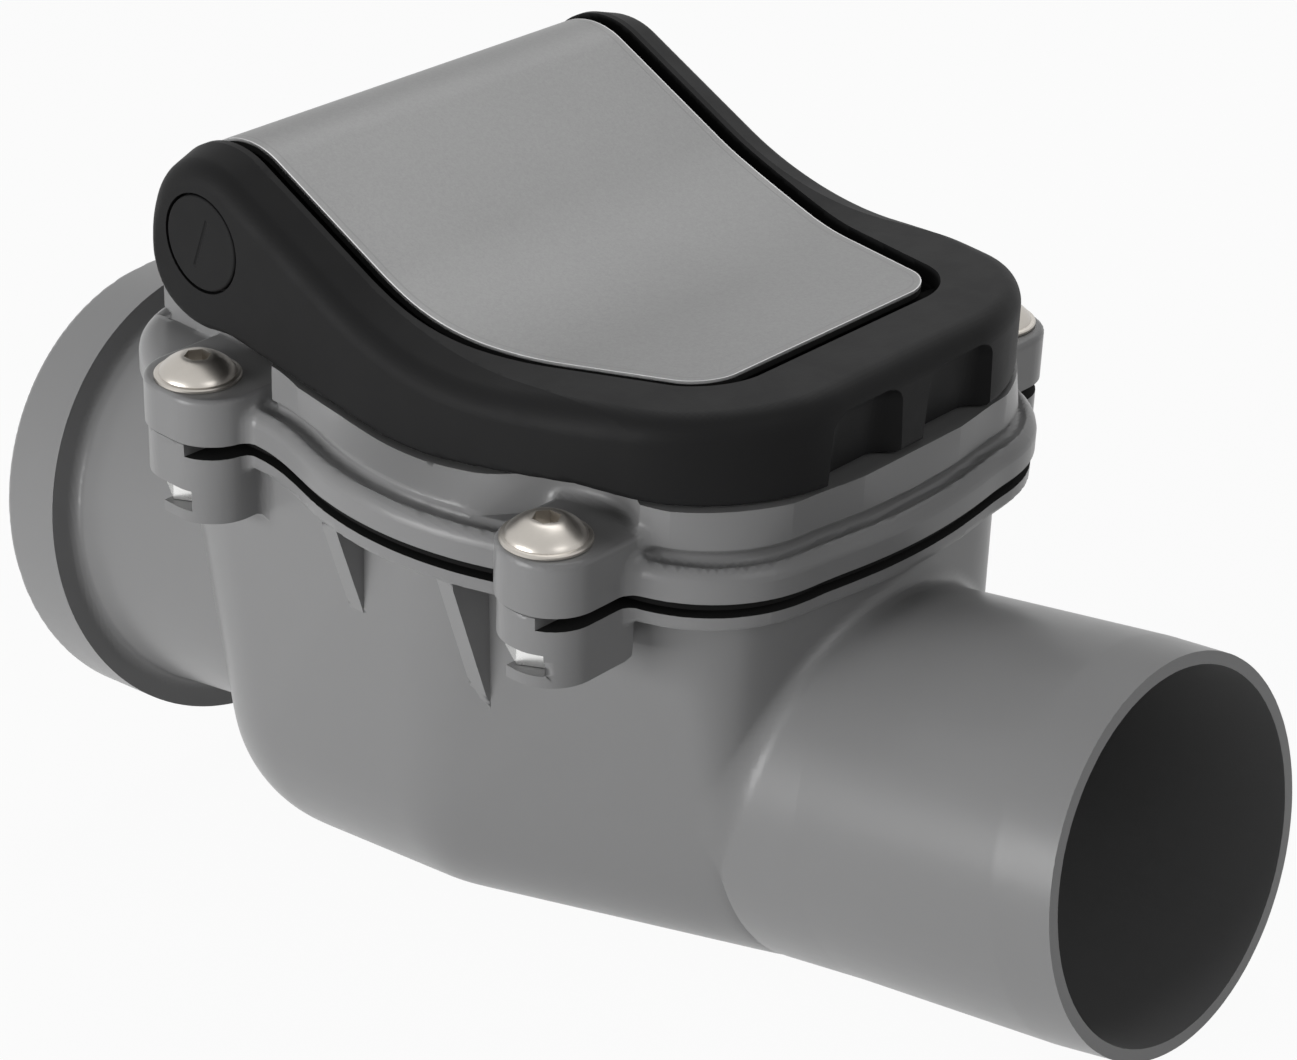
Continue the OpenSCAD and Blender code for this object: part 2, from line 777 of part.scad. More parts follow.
module locking_cam() {
    tip = cam_len - cam_half;
    color(steel) on_deck() translate([pivot[0], 0, pivot[1]]) rotate([90, 0, 0]) difference() {
        linear_extrude(cam_width, center = true) difference() {
            union() {
                circle(r = cam_hub_r);
                rotate(cam_rest) {
                    translate([0, -cam_half]) square([tip, 2 * cam_half]);
                    translate([tip, 0]) circle(r = cam_half);
                }
            }
            circle(r = axle_r + turn_clear);
        }
        rotate([0, 90, cam_pin_turn])
            cylinder(r = cam_pin_r + turn_clear, h = 2 * cam_hub_r + 1, center = true);
    }
}

module cam_pin() {
    color(steel) on_deck() translate([pivot[0], 0, pivot[1]]) rotate([90, 0, 0])
        rotate([0, 90, cam_pin_turn]) cylinder(r = cam_pin_r, h = 2 * cam_hub_r - 0.4, center = true);
}

// Arm, hub and heel of the flap in side view, about the hinge pin
module flap_side() {
    foot_x = disc_front - hinge_x;
    foot_z = -hinge_z;
    circle(r = hub_r);
    polygon([
        [-hub_r * 0.9, hub_r * 0.4], [hub_r * 0.4, -hub_r * 0.9],
        [foot_x + 3, foot_z + 8], [foot_x - 1, foot_z - 10], [foot_x - 1, foot_z + flap_r * 0.8]
    ]);
    rotate(heel_angle) translate([0, -heel_half]) square([heel_len - heel_half, 2 * heel_half]);
    rotate(heel_angle) translate([heel_len - heel_half, 0]) circle(r = heel_half);
}

module flap() {
    color(grey) difference() {
        union() {
            along_x(disc_back) cylinder(r = flap_r, h = flap_t);
            along_x(seal_face) cylinder(r = seal_in - set_clear, h = seal_t + eps);
            translate([hinge_x, 0, hinge_z]) across(2 * hub_half) flap_side();
            for (s = SIDES) translate([disc_front - eps, s * flap_r / 2 - flap_rib_t / 2, -flap_r * 0.8])
                cube([flap_rib_t, flap_rib_t, flap_r * 1.6]);
        }
        translate([hinge_x, 0, hinge_z]) rotate([90, 0, 0])
            cylinder(r = hinge_pin_r + turn_clear, h = far, center = true);
        retainer_screw_places() cylinder(r = retainer_screw_r + turn_clear, h = seal_t + flap_t);
    }
}

// The screws of the seal's retainer, set out on the flap's upstream face
module retainer_screw_places() {
    for (i = [0:retainer_screws_n - 1])
        along_x(seal_face) rotate(45 + i * 360 / retainer_screws_n)
            translate([retainer_screw_ring, 0, 0]) children();
}

module flap_seal() {
    color(rubber) along_x(seal_face) difference() {
        cylinder(r = flap_r - 0.4, h = seal_t);
        translate([0, 0, -1]) cylinder(r = seal_in, h = seal_t + 2);
    }
}

module seal_retainer() {
    color(steel) difference() {
        along_x(seal_face - retainer_t) cylinder(r = retainer_r, h = retainer_t);
        retainer_screw_places() translate([0, 0, -retainer_t - 1])
            cylinder(r = retainer_screw_r + set_clear, h = retainer_t + 2);
    }
}

module retainer_screws() {
    head_h = 1.2;
    color(steel) retainer_screw_places() {
        translate([0, 0, -retainer_t - head_h]) difference() {
            cylinder(r = 2 * retainer_screw_r, h = head_h);
            translate([0, 0, -eps]) cylinder(r = 0.8, h = 0.7, $fn = 6);
        }
        translate([0, 0, -retainer_t - eps])
            cylinder(r = retainer_screw_r, h = retainer_t + seal_t + flap_t - 1);
    }
}

module hinge_pin() {
    color(steel) on_deck() translate([hinge[0], 0, hinge[1]]) rotate([90, 0, 0]) difference() {
        cylinder(r = hinge_pin_r, h = 2 * pin_end, center = true);
        for (s = SIDES) translate([0, 0, s * (clip_v + clip_t / 2)]) difference() {
            cylinder(r = far / 10, h = clip_t + set_clear, center = true);
            cylinder(r = clip_neck, h = 2, center = true);
        }
    }
}

module hinge_clips() {
    color(steel) on_deck() translate([hinge[0], 0, hinge[1]]) rotate([90, 0, 0])
        for (s = SIDES) translate([0, 0, s * (clip_v + clip_t / 2)]) difference() {
            cylinder(r = clip_r, h = clip_t, center = true);
            cylinder(r = clip_neck + turn_clear, h = 2, center = true);
            translate([0, clip_r, 0]) cube([2 * clip_neck - 0.6, 2 * clip_r, 2], center = true);
        }
}

valve_body();
inlet_lip_seal();
cover();
cover_gasket();
cover_bolts();
cover_nuts();
lever();
lever_plate();
pivot_cap_left();
pivot_cap_right();
lever_axle();
axle_washers();
axle_screws();
axle_bush_left();
axle_bush_right();
axle_o_ring_left();
axle_o_ring_right();
locking_cam();
cam_pin();
flap();
flap_seal();
seal_retainer();
retainer_screws();
hinge_pin();
hinge_clips();
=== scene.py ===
import math

import bmesh
import bpy
import numpy as np
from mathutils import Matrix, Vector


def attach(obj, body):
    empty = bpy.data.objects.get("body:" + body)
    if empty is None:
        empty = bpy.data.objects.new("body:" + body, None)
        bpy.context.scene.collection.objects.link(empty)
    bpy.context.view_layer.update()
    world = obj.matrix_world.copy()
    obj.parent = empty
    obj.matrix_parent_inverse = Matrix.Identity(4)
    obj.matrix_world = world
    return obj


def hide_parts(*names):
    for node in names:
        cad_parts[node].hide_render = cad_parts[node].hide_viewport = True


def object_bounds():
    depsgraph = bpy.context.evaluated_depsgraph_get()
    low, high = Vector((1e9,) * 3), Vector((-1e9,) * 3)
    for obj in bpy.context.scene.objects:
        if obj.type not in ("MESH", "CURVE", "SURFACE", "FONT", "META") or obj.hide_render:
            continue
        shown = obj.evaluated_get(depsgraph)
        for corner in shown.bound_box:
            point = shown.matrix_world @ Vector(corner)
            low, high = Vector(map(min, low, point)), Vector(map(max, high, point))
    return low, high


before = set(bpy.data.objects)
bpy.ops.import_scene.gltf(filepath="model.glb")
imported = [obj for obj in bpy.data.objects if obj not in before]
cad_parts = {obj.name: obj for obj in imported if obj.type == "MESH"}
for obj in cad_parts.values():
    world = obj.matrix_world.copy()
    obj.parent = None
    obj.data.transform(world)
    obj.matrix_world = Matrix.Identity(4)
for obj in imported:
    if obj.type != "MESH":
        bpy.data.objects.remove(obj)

import openvdb
from mathutils import Matrix, Vector

CAD_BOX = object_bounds()
MM = 0.001
COARSE = 1.0

# Camera of the photograph
IMAGE_W = 1297
FOCAL_PX = 3454.45
SENSOR_MM = 36.0
CAMERA_AT = (388.53, -293.79, 170.72)
CAMERA_AZIMUTH = 44.98
CAMERA_ELEVATION = 21.34
CAMERA_ROLL = -6.46
GROUND_GLOW = 0.95
SHADOW_BLACK = (0.0008, 0.0008, 0.0008)

# Pipe ends
PIPE_R = 25.0
ROOT_R, ROOT_X, WALL_X = 25.3, 126.0, 138.0
SADDLE_R, SADDLE_Z = 2.4, (-24.0, -10.0)
SPIGOT_BORE_R = 23.0
# How far the spigot and its bore run into the chamber
SPIGOT_INTO, BORE_INTO = 8.0, 6.0
OUTLET_Z = -17.5
BODY_LEN = 175.2
SPIGOT_LEAD = 8.0
LEAD_DROP = 0.4
SOCKET_R = 25.3
SOCKET_DEPTH = 38.0
SEAT_R = 23.0
SEAT_X = 54.0
STUB_R = 27.0
BEAD_R = 33.3
BEAD_LEN, BEAD_TAPER = 11.5, 0.7
BARREL_R, BARREL_X = 29.2, 0.5
BEAD_EDGE_R, BEAD_FOOT_R, NECK_FILLET = 1.2, 1.6, 0.8
GROOVE_X = (3.0, 9.0)
GROOVE_R = 29.7

# Tilted deck that carries the cover: u runs along it, v across, w up from the cover's underside
DECK_X = 89.6
DECK_Z = 26.3
DECK_TILT = math.radians(10.74)
BULGE_U, BULGE_R = 5.0, 46.0
CORNER_R = 18.0
REAR_REACH, REAR_HALF = 53.5, 41.5
FRONT_REACH, FRONT_HALF = 51.0, 36.0
NOSE_REACH, NOSE_R, NOSE_HALF = 52.8, 85.0, 24.0
OUTLINE_BLEND, NOSE_BLEND, OUTLINE_OVERLAP = 2.5, 0.8, 10.0
BOLT_U, BOLT_V, BOLT_HOLE_R = 30.0, 42.0, 2.75
LUG_R, LUG_V, LUG_SHIFT = 6.4, 41.5, 0.4
# Front and rear lugs
LUG_FLATS, LUG_TOPS, LUG_UNDERS, NUT_SEATS = (0.3, 1.6), (6.9, 6.3), (-9.5, -11.0), (-5.2, -6.7)

# Body below the deck
BODY_TOP = -1.2
FLANGE_UNDER = -3.8
FLANGE_EDGE_R, FLANGE_FILLET = 0.5, 1.0
BODY_INSET = 0.4
OVERHANG = 4.6
CHAMBER_WALL = 3.0
BELLY_R = 20.0
BELLY_SPOTS = ((61.6, -13.0), (86.0, -14.4))
BELLY_Y = 20.0
NUT_AF, NUT_T, NUT_ROOM = 8.0, 2.7, 0.1
NUT_REACH = 0.6 * NUT_AF
RIB_US = (-3.9, 15.6)
RIB_T, RIB_H, RIB_LEAN, RIB_INSET = 2.6, 17.0, 5.8, 0.2
CHAMBER_SLIM = 1.6
PAD_U, PAD_V, PAD_GAP, PAD_EDGE_R, PAD_ROOT = 3.2, 1.0, 0.4, 0.25, 1.0
FLANGE_DROP = 0.8
NOTCH_H, NOTCH_BACK, NOTCH_U = 2.8, 40.6, (-9.0, -0.8)
BODY_LUG_IN, RIB_IN, LUG_FILLET = 34.0, 33.0, 1.3

# Cover
LIP_TOP = 4.4
BEAD_ROUND = 2.2
WALL_INSET = 2.4
COVER_WALL = 2.4
POCKET_R, POCKET_REAR = 10.8, -30.0
ROOF_GAP = 0.5
# The pocket's edge is soft from the first stretch to the second
POCKET_EDGE_R, POCKET_SOFT_U, POCKET_HARD_U = 5.0, (2.0, 12.0), (BOLT_U - 4, BOLT_U + 2)
LEVER_ROOM = 0.3
FOOT_GROOVE_R, FOOT_GROOVE_IN, FOOT_GROOVE_EDGE_R = 0.9, 0.1, 0.6
COVER_LUG_IN, LUG_EDGE_R, COVER_LUG_FILLET = 30.5, 0.7, 1.6

# Lever
PIVOT_U, PIVOT_W = -31.7, 22.8
HOOD_R = 11.4
HOOD_FALL = math.radians(26)
FALL_LEN = 19.8
DIP_R = 49.0
FRONT_RISE = math.radians(5.5)
LEVER_HALF = 39.5
LEVER_FRONT = 49.6
TAPER_U = -2.0
LEVER_TAPER_R, LEVER_CORNER_R = 132.0, 15.0
SKIRT_W = 10.9
LOW_U, LOW_W, LOW_R = 4.0, 7.9, 50.0
CHEEK_FALL, CHEEK_RISE = math.radians(8.3), math.radians(8.3)
ARM_INNER = 31.5
SKIN_T = 3.1
SKIN_REAR = math.radians(132)
BAR_U = 40.5
CHEEK_T = 3.0
TOP_ROUND, LOW_ROUND, INNER_ROUND = 2.4, 0.7, 0.6
FRONT_SOFT, FRONT_SOFT_U = 0.8, (10.0, 35.0)
# Heights where the lower edge's rounding gives way to the top's, and where the arm gives way to the cheek
ROUND_SHARE, ARM_DROP = (0.3, 0.65), (1.0, 10.0)
TOP_FALL_V, TOP_FALL = 34.0, 0.3
PLATE_HALF, PLATE_FRONT, PLATE_CORNER_R = 31.0, 35.6, 4.5
PLATE_TAPER_U, PLATE_TAPER = 2.0, math.radians(16.7)
PLATE_GAP, FRONT_GAP = 2.1, 0.8
RECESS_D, GROOVE_D = 1.5, 2.5
PLATE_T = 1.2
CAP_R, CAP_T, CAP_GAP = 6.2, 1.6, 0.3
FINGER_V, FINGER_HALF, FINGER_DEEP = 8.8, 4.2, 2.6
FINGER_LEAN, FINGER_ROOF = math.radians(4), 2.6
FINGER_CORNER_R, FINGER_ROOF_R = 0.9, 2.2
CAP_LINE_LEAN, CAP_LINE_HALF = math.radians(20), 0.55 * CAP_R
CAP_LINE_R, CAP_LINE_OUT, CAP_EDGE_R = 0.38, 0.25, 0.3

# Axle housing of the cover
BOSS_R = HOOD_R - SKIN_T - 1.0
HOUSING_HALF = 31.0
HOUSING_FRONT = -4.0
HOUSING_REAR = -42.5
HOUSING_LOW = -1.0
HOUSING_WALL = 1.3
TAIL = math.radians(46)
HOUSING_EDGE_R, HOUSING_FILLET, HOUSING_END = 0.8, 1.0, 5.0
BUSH_R, BUSH_LEN = 5.25, 3.8
AXLE_HOLE_R, AXLE_HOLE_LEN = 3.9, 7.0
EAR_IN, EAR_OUT, EAR_HALF, EAR_RAISE = 6.4, 10.0, 3.4, 0.5
HINGE_HOLE_R, HINGE_HOLE_HALF = 2.05, 12.0
HINGE_U, HINGE_W, HINGE_HUB_R = -19.19, 12.67, 4.4

# Boxes and grid steps that the shapes are meshed in
BODY_BOX, BODY_STEP = ((-1.5, -50.0, -45.0), (177.0, 50.0, 40.0)), 0.8 * COARSE
COVER_BOX, COVER_STEP = ((-55.5, -50.0, -1.5), (55.0, 50.0, 32.0)), 0.7 * COARSE
LEVER_BOX, LEVER_STEP = ((-45.0, -41.0, 5.0), (52.0, 41.0, 36.0)), 0.65 * COARSE
PLATE_BOX, PLATE_STEP = ((-45.0, -33.0, 15.0), (39.0, 33.0, 36.0)), 0.4 * COARSE
CAP_STEP = 0.25 * COARSE
CHAMBER_REACH = 12.0


# Solid shapes as distances, in millimetres, negative inside

def both(*shapes):
    out = shapes[0]
    for s in shapes[1:]:
        out = np.maximum(out, s)
    return out


def either(*shapes):
    out = shapes[0]
    for s in shapes[1:]:
        out = np.minimum(out, s)
    return out


def round_both(a, b, r):
    """The common part of two shapes, with the edge between them rounded."""
    return np.minimum(-r, np.maximum(a, b)) + np.hypot(np.maximum(r + a, 0), np.maximum(r + b, 0))


def round_either(a, b, r):
    """Two shapes joined, with a fillet in the corner between them."""
    return np.maximum(r, np.minimum(a, b)) - np.hypot(np.maximum(r - a, 0), np.maximum(r - b, 0))


def blend_either(a, b, k):
    """Two shapes joined where they cross at a shallow angle, with the kink smoothed."""
    return np.minimum(a, b) - np.maximum(k - np.abs(a - b), 0) ** 2 / (4 * k)


def less(a, b, r=0.0):
    """The first shape without the second."""
    return round_both(a, -b, r) if r else np.maximum(a, -b)


def rounded_box(x, y, x0, x1, half_y, r):
    dx = np.abs(x - (x0 + x1) / 2) - (x1 - x0) / 2 + r
    dy = np.abs(y) - half_y + r
    return np.hypot(np.maximum(dx, 0), np.maximum(dy, 0)) + np.minimum(np.maximum(dx, dy), 0) - r


def slab(x, low, high):
    return np.abs(x - (low + high) / 2) - (high - low) / 2


def ramp(x, low, high):
    t = np.clip((x - low) / (high - low), 0, 1)
    return t * t * (3 - 2 * t)


def to_deck(x, z):
    c, s = math.cos(DECK_TILT), math.sin(DECK_TILT)
    return (x - DECK_X) * c - (z - DECK_Z) * s, (x - DECK_X) * s + (z - DECK_Z) * c


def from_deck(points):
    c, s = math.cos(DECK_TILT), math.sin(DECK_TILT)
    u, v, w = points.T
    return np.stack([DECK_X + u * c + w * s, v, DECK_Z - u * s + w * c], axis=1)


def deck_outline(u, v, inset, slim=0.0):
    r = CORNER_R - inset
    bulge = np.hypot(u - BULGE_U, v) - BULGE_R + inset + slim
    rear = both(rounded_box(u, v, -REAR_REACH + inset, OUTLINE_OVERLAP, REAR_HALF - inset, r), u)
    front = both(rounded_box(u, v, -OUTLINE_OVERLAP, FRONT_REACH - inset, FRONT_HALF - inset, r), -u)
    nose = both(np.hypot(u - NOSE_REACH + NOSE_R, v) - NOSE_R + inset, np.abs(v) - NOSE_HALF, -u)
    front = blend_either(front, nose, NOSE_BLEND)
    return blend_either(blend_either(bulge, rear, OUTLINE_BLEND), front, OUTLINE_BLEND)


def bolt_distance(u, v):
    return np.hypot(np.abs(u) - BOLT_U, np.abs(v) - BOLT_V)


def at_ends(u, values):
    """The first value at the front, the second at the rear."""
    return np.where(u > 0, *values)


def past_bolt(u):
    return u - at_ends(u, (BOLT_U, -BOLT_U))


def lug_plan(u, v, r):
    past = np.abs(past_bolt(u) - LUG_SHIFT)
    return np.hypot(np.maximum(past - at_ends(u, LUG_FLATS), 0), np.maximum(np.abs(v) - LUG_V, 0)) - r


# Lever curves in side view

FALL_DIR = np.array([math.cos(HOOD_FALL), -math.sin(HOOD_FALL)])
FALL_NORMAL = np.array([math.sin(HOOD_FALL), math.cos(HOOD_FALL)])
PIVOT = np.array([PIVOT_U, PIVOT_W])
FALL_START = PIVOT + HOOD_R * FALL_NORMAL
FALL_END = FALL_START + FALL_LEN * FALL_DIR
DIP_C = FALL_END + DIP_R * FALL_NORMAL
RISE_START = DIP_C + DIP_R * np.array([math.sin(FRONT_RISE), -math.cos(FRONT_RISE)])


def hood_top(u, w):
    """Distance above the hood's S-shaped top line, ahead of the pivot."""
    fall = (u - FALL_START[0]) * FALL_NORMAL[0] + (w - FALL_START[1]) * FALL_NORMAL[1]
    dip = DIP_R - np.hypot(u - DIP_C[0], w - DIP_C[1])
    rise = -(u - RISE_START[0]) * math.sin(FRONT_RISE) + (w - RISE_START[1]) * math.cos(FRONT_RISE)
    along = (u - FALL_END[0]) * FALL_DIR[0] + (w - FALL_END[1]) * FALL_DIR[1]
    past = (u - RISE_START[0]) * math.cos(FRONT_RISE) + (w - RISE_START[1]) * math.sin(FRONT_RISE)
    return np.where(along < 0, fall, np.where(past > 0, rise, dip))


def from_pivot(u, w):
    return np.hypot(u - PIVOT_U, w - PIVOT_W)


def hood_side(u, w, d):
    """The hood in side view, moved in by d."""
    pivot = from_pivot(u, w) - HOOD_R + d
    start = (u - PIVOT_U) * FALL_DIR[0] + (w - PIVOT_W) * FALL_DIR[1]
    return np.where(start < 0, pivot, hood_top(u, w) + d)


def cheek_low(u):
    """Height of the lever's lower edge."""
    bend = LOW_W + LOW_R - np.sqrt(np.maximum(LOW_R ** 2 - (u - LOW_U) ** 2, 0.01))
    u0, u1 = LOW_U - LOW_R * math.sin(CHEEK_FALL), LOW_U + LOW_R * math.sin(CHEEK_RISE)
    w0 = LOW_W + LOW_R * (1 - math.cos(CHEEK_FALL))
    w1 = LOW_W + LOW_R * (1 - math.cos(CHEEK_RISE))
    fall = w0 + (u0 - u) * math.tan(CHEEK_FALL)
    rise = np.minimum(w1 + (u - u1) * math.tan(CHEEK_RISE), SKIRT_W)
    return np.where(u < u0, fall, np.where(u > u1, rise, bend))


def lever_plan(u, v, inset=0.0):
    arc = np.hypot(u - TAPER_U, np.abs(v) + LEVER_TAPER_R - LEVER_HALF) - LEVER_TAPER_R
    side = np.where(u < TAPER_U, np.abs(v) - LEVER_HALF, arc)
    return round_both(side + inset, u - LEVER_FRONT + inset, LEVER_CORNER_R - inset)


def plate_plan(u, v, grow=0.0, ahead=0.0):
    side = np.abs(v) - PLATE_HALF
    taper = (side + (u - PLATE_TAPER_U) * math.tan(PLATE_TAPER)) * math.cos(PLATE_TAPER)
    side = -blend_either(-side, -taper, 2.0)
    return round_both(side - grow, u - PLATE_FRONT - ahead - grow, PLATE_CORNER_R + grow)


def finger_recesses(u, v, w):
    """Two recesses under the lever's front edge, with sides at 45 degrees."""
    floor = (LEVER_FRONT - FINGER_DEEP - u) * math.cos(FINGER_LEAN) + (w - SKIRT_W) * math.sin(FINGER_LEAN)
    side = (np.abs(np.abs(v) - FINGER_V) - FINGER_HALF + floor) * math.sqrt(0.5)
    return round_both(round_both(floor, side, FINGER_CORNER_R), hood_side(u, w, FINGER_ROOF), FINGER_ROOF_R)


def ahead_of_skin_end(u, w):
    """Distance ahead of the line where the lever's skin ends behind the pivot."""
    return (u - PIVOT_U) * math.sin(SKIN_REAR) - (w - PIVOT_W) * math.cos(SKIN_REAR)


def lever_shape(u, v, w):
    hood = hood_side(u, w, 0.0)
    fall = TOP_FALL * np.maximum(np.abs(v) - TOP_FALL_V, 0)
    top = hood + fall
    low = (cheek_low(u) - w) * math.cos(CHEEK_FALL)
    under = ramp(PIVOT_W - w, *ARM_DROP)
    arm = from_pivot(u, w) - HOOD_R + fall * (1 - under)
    side = blend_either(both(top, low, PIVOT_U - u), arm, 0.01 + under)
    height = np.where(u < PIVOT_U, (w - PIVOT_W + HOOD_R) / (2 * HOOD_R),
                      -low / (np.maximum(-low, 0) + np.maximum(-hood, 0) + 0.01))
    top_round = TOP_ROUND + FRONT_SOFT * ramp(u, *FRONT_SOFT_U)
    edge_round = LOW_ROUND + (top_round - LOW_ROUND) * ramp(height, *ROUND_SHARE)
    body = round_both(lever_plan(u, v), side, edge_round)
    # Hollow under the skin, between the arms
    skin = hood_side(u, w, SKIN_T)
    room = either(skin, ahead_of_skin_end(u, w))
    inside = both(room, np.abs(v) - ARM_INNER, lever_plan(u, v, CHEEK_T), u - BAR_U)
    body = less(body, inside, INNER_ROUND)
    # Recess of the plate, finger recesses and pivot recesses
    bed = both(plate_plan(u, v, -1.0), hood + RECESS_D)
    recess = less(both(plate_plan(u, v, PLATE_GAP, FRONT_GAP), -hood - GROOVE_D), bed)
    body = less(body, recess)
    body = less(body, finger_recesses(u, v, w))
    cap = both(from_pivot(u, w) - CAP_R - CAP_GAP, LEVER_HALF - CAP_T - np.abs(v))
    return less(body, cap)


def cap_shape(u, v, w):
    """A pivot cap with a shallow line across it."""
    rim = from_pivot(u, w) - CAP_R
    disc = round_both(rim, slab(np.abs(v), LEVER_HALF - CAP_T, LEVER_HALF), CAP_EDGE_R)
    c, s = math.cos(CAP_LINE_LEAN), math.sin(CAP_LINE_LEAN)
    along = (u - PIVOT_U) * s + (w - PIVOT_W) * c
    across = (u - PIVOT_U) * c - (w - PIVOT_W) * s
    beyond = np.maximum(np.abs(along) - CAP_LINE_HALF, 0)
    line = np.sqrt(beyond ** 2 + across ** 2 + (np.abs(v) - LEVER_HALF - CAP_LINE_OUT) ** 2)
    return less(disc, line - CAP_LINE_R)


def plate_shape(u, v, w):
    top = hood_side(u, w, RECESS_D - PLATE_T)
    under = -hood_side(u, w, RECESS_D)
    return both(plate_plan(u, v), top, under, -ahead_of_skin_end(u, w))


def housing_side(u, w, d):
    """The axle housing in side view, moved in by d."""
    r = BOSS_R - d
    top = (u - PIVOT_U) * FALL_NORMAL[0] + (w - PIVOT_W) * FALL_NORMAL[1] - r
    tail = -(u - PIVOT_U) * math.sin(TAIL) + (w - PIVOT_W) * math.cos(TAIL) + d
    boss = from_pivot(u, w) - r
    front = both(top, u - HOUSING_FRONT + d, PIVOT_U - u, HOUSING_LOW - w)
    rear = both(tail, u - PIVOT_U, HOUSING_REAR + d - u, HOUSING_LOW - w)
    return either(boss, front, rear)


def roof_top(u):
    return np.minimum(cheek_low(u) - ROOF_GAP, PIVOT_W - HOOD_R - ROOF_GAP)


def cover_shape(u, v, w):
    near_bolt = bolt_distance(u, v)
    out = deck_outline(u, v, 0.0)
    lip = round_both(out, w - LIP_TOP, BEAD_ROUND)
    roof = (w - roof_top(u)) * math.cos(CHEEK_FALL)
    # The wall runs from inside the bead up to the lever's lower edge
    rise = np.clip((w - LIP_TOP) / (roof_top(u) - LIP_TOP), 0, 1)
    lean_in = out + WALL_INSET + rise * np.maximum(lever_plan(u, v, -LEVER_ROOM) - out - WALL_INSET, 0)
    rear_corner = both(u - POCKET_REAR, HOUSING_HALF - np.abs(v))
    pocket = either(near_bolt - POCKET_R, rear_corner)
    soft = ramp(u, *POCKET_SOFT_U) * (1 - ramp(u, *POCKET_HARD_U))
    wall = both(round_both(lean_in, -pocket, 0.01 + POCKET_EDGE_R * soft), roof)
    solid = either(lip, wall)
    foot_groove = np.hypot(out + WALL_INSET + FOOT_GROOVE_IN, w - LIP_TOP) - FOOT_GROOVE_R
    solid = round_both(solid, -both(foot_groove, -rear_corner), FOOT_GROOVE_EDGE_R)
    lugs = round_both(lug_plan(u, v, LUG_R), w - at_ends(u, LUG_TOPS), LUG_EDGE_R)
    solid = round_either(solid, both(lugs, COVER_LUG_IN - np.abs(v)), COVER_LUG_FILLET)
    housing = round_both(housing_side(u, w, 0.0), np.abs(v) - HOUSING_HALF, HOUSING_EDGE_R)
    solid = round_either(solid, housing, HOUSING_FILLET)
    hollow = both(lean_in + COVER_WALL, COVER_WALL - pocket, roof + COVER_WALL)
    axle_room = both(housing_side(u, w, HOUSING_WALL), np.abs(v) - HOUSING_HALF + HOUSING_END)
    solid = less(less(solid, hollow), axle_room)
    ear = either(
        np.hypot(u - HINGE_U, w - HINGE_W) - HINGE_HUB_R,
        both(np.abs(w - HINGE_W - EAR_RAISE) - EAR_HALF, HINGE_U - u, u - HOUSING_FRONT))
    solid = either(solid, both(ear, slab(np.abs(v), EAR_IN, EAR_OUT)))
    bush_bore = both(from_pivot(u, w) - BUSH_R, HOUSING_HALF - BUSH_LEN - np.abs(v))
    axle_bore = both(from_pivot(u, w) - AXLE_HOLE_R, HOUSING_HALF - AXLE_HOLE_LEN - np.abs(v))
    hinge_bore = both(np.hypot(u - HINGE_U, w - HINGE_W) - HINGE_HOLE_R, np.abs(v) - HINGE_HOLE_HALF)
    solid = less(solid, either(bush_bore, axle_bore, hinge_bore))
    return both(less(solid, near_bolt - BOLT_HOLE_R), -w)


class Field:
    """Distance from a closed mesh, kept on a grid and read back smoothly."""

    def __init__(self, points, triangles, low, high, step, reach):
        self.low, self.step = np.array(low), step
        size = [len(np.arange(a, b + step, step, dtype=np.float32)) for a, b in zip(low, high)]
        spots = ((points - self.low) / step).astype(np.float32)
        grid = openvdb.FloatGrid.createLevelSetFromPolygons(
            spots, triangles=triangles, halfWidth=reach / step)
        values = np.full(size, grid.background, dtype=np.float32)
        grid.copyToArray(values)
        for axis in (0, 1, 2) * 3:
            inner = np.moveaxis(values, axis, 0)
            inner[1:-1] = (inner[:-2] + 2 * inner[1:-1] + inner[2:]) / 4
        self.values = values * step

    def __call__(self, x, y, z):
        if np.ndim(x) == 3:
            return self.values
        place = (np.stack([x, y, z]) - self.low[:, None]) / self.step
        middle = np.clip(np.round(place).astype(int), 1, np.array(self.values.shape)[:, None] - 2)
        t = np.clip(place - middle, -0.5, 0.5)
        weights = (0.5 * (0.5 - t) ** 2, 0.75 - t ** 2, 0.5 * (0.5 + t) ** 2)
        out = 0.0
        for i, j, k in np.ndindex(3, 3, 3):
            tap = self.values[middle[0] + i - 1, middle[1] + j - 1, middle[2] + k - 1]
            out = out + weights[i][0] * weights[j][1] * weights[k][2] * tap
        return out


def outline_ring(inset, count=360):
    """Points around the deck outline, found along rays from inside it."""
    angle = np.linspace(0, 2 * math.pi, count, endpoint=False)
    near, far = np.zeros(count), np.full(count, 90.0)
    for _ in range(40):
        mid = (near + far) / 2
        inside = deck_outline(mid * np.cos(angle), mid * np.sin(angle), inset, CHAMBER_SLIM) < 0
        near, far = np.where(inside, mid, near), np.where(inside, far, mid)
    return np.stack([near * np.cos(angle), near * np.sin(angle)], axis=1)


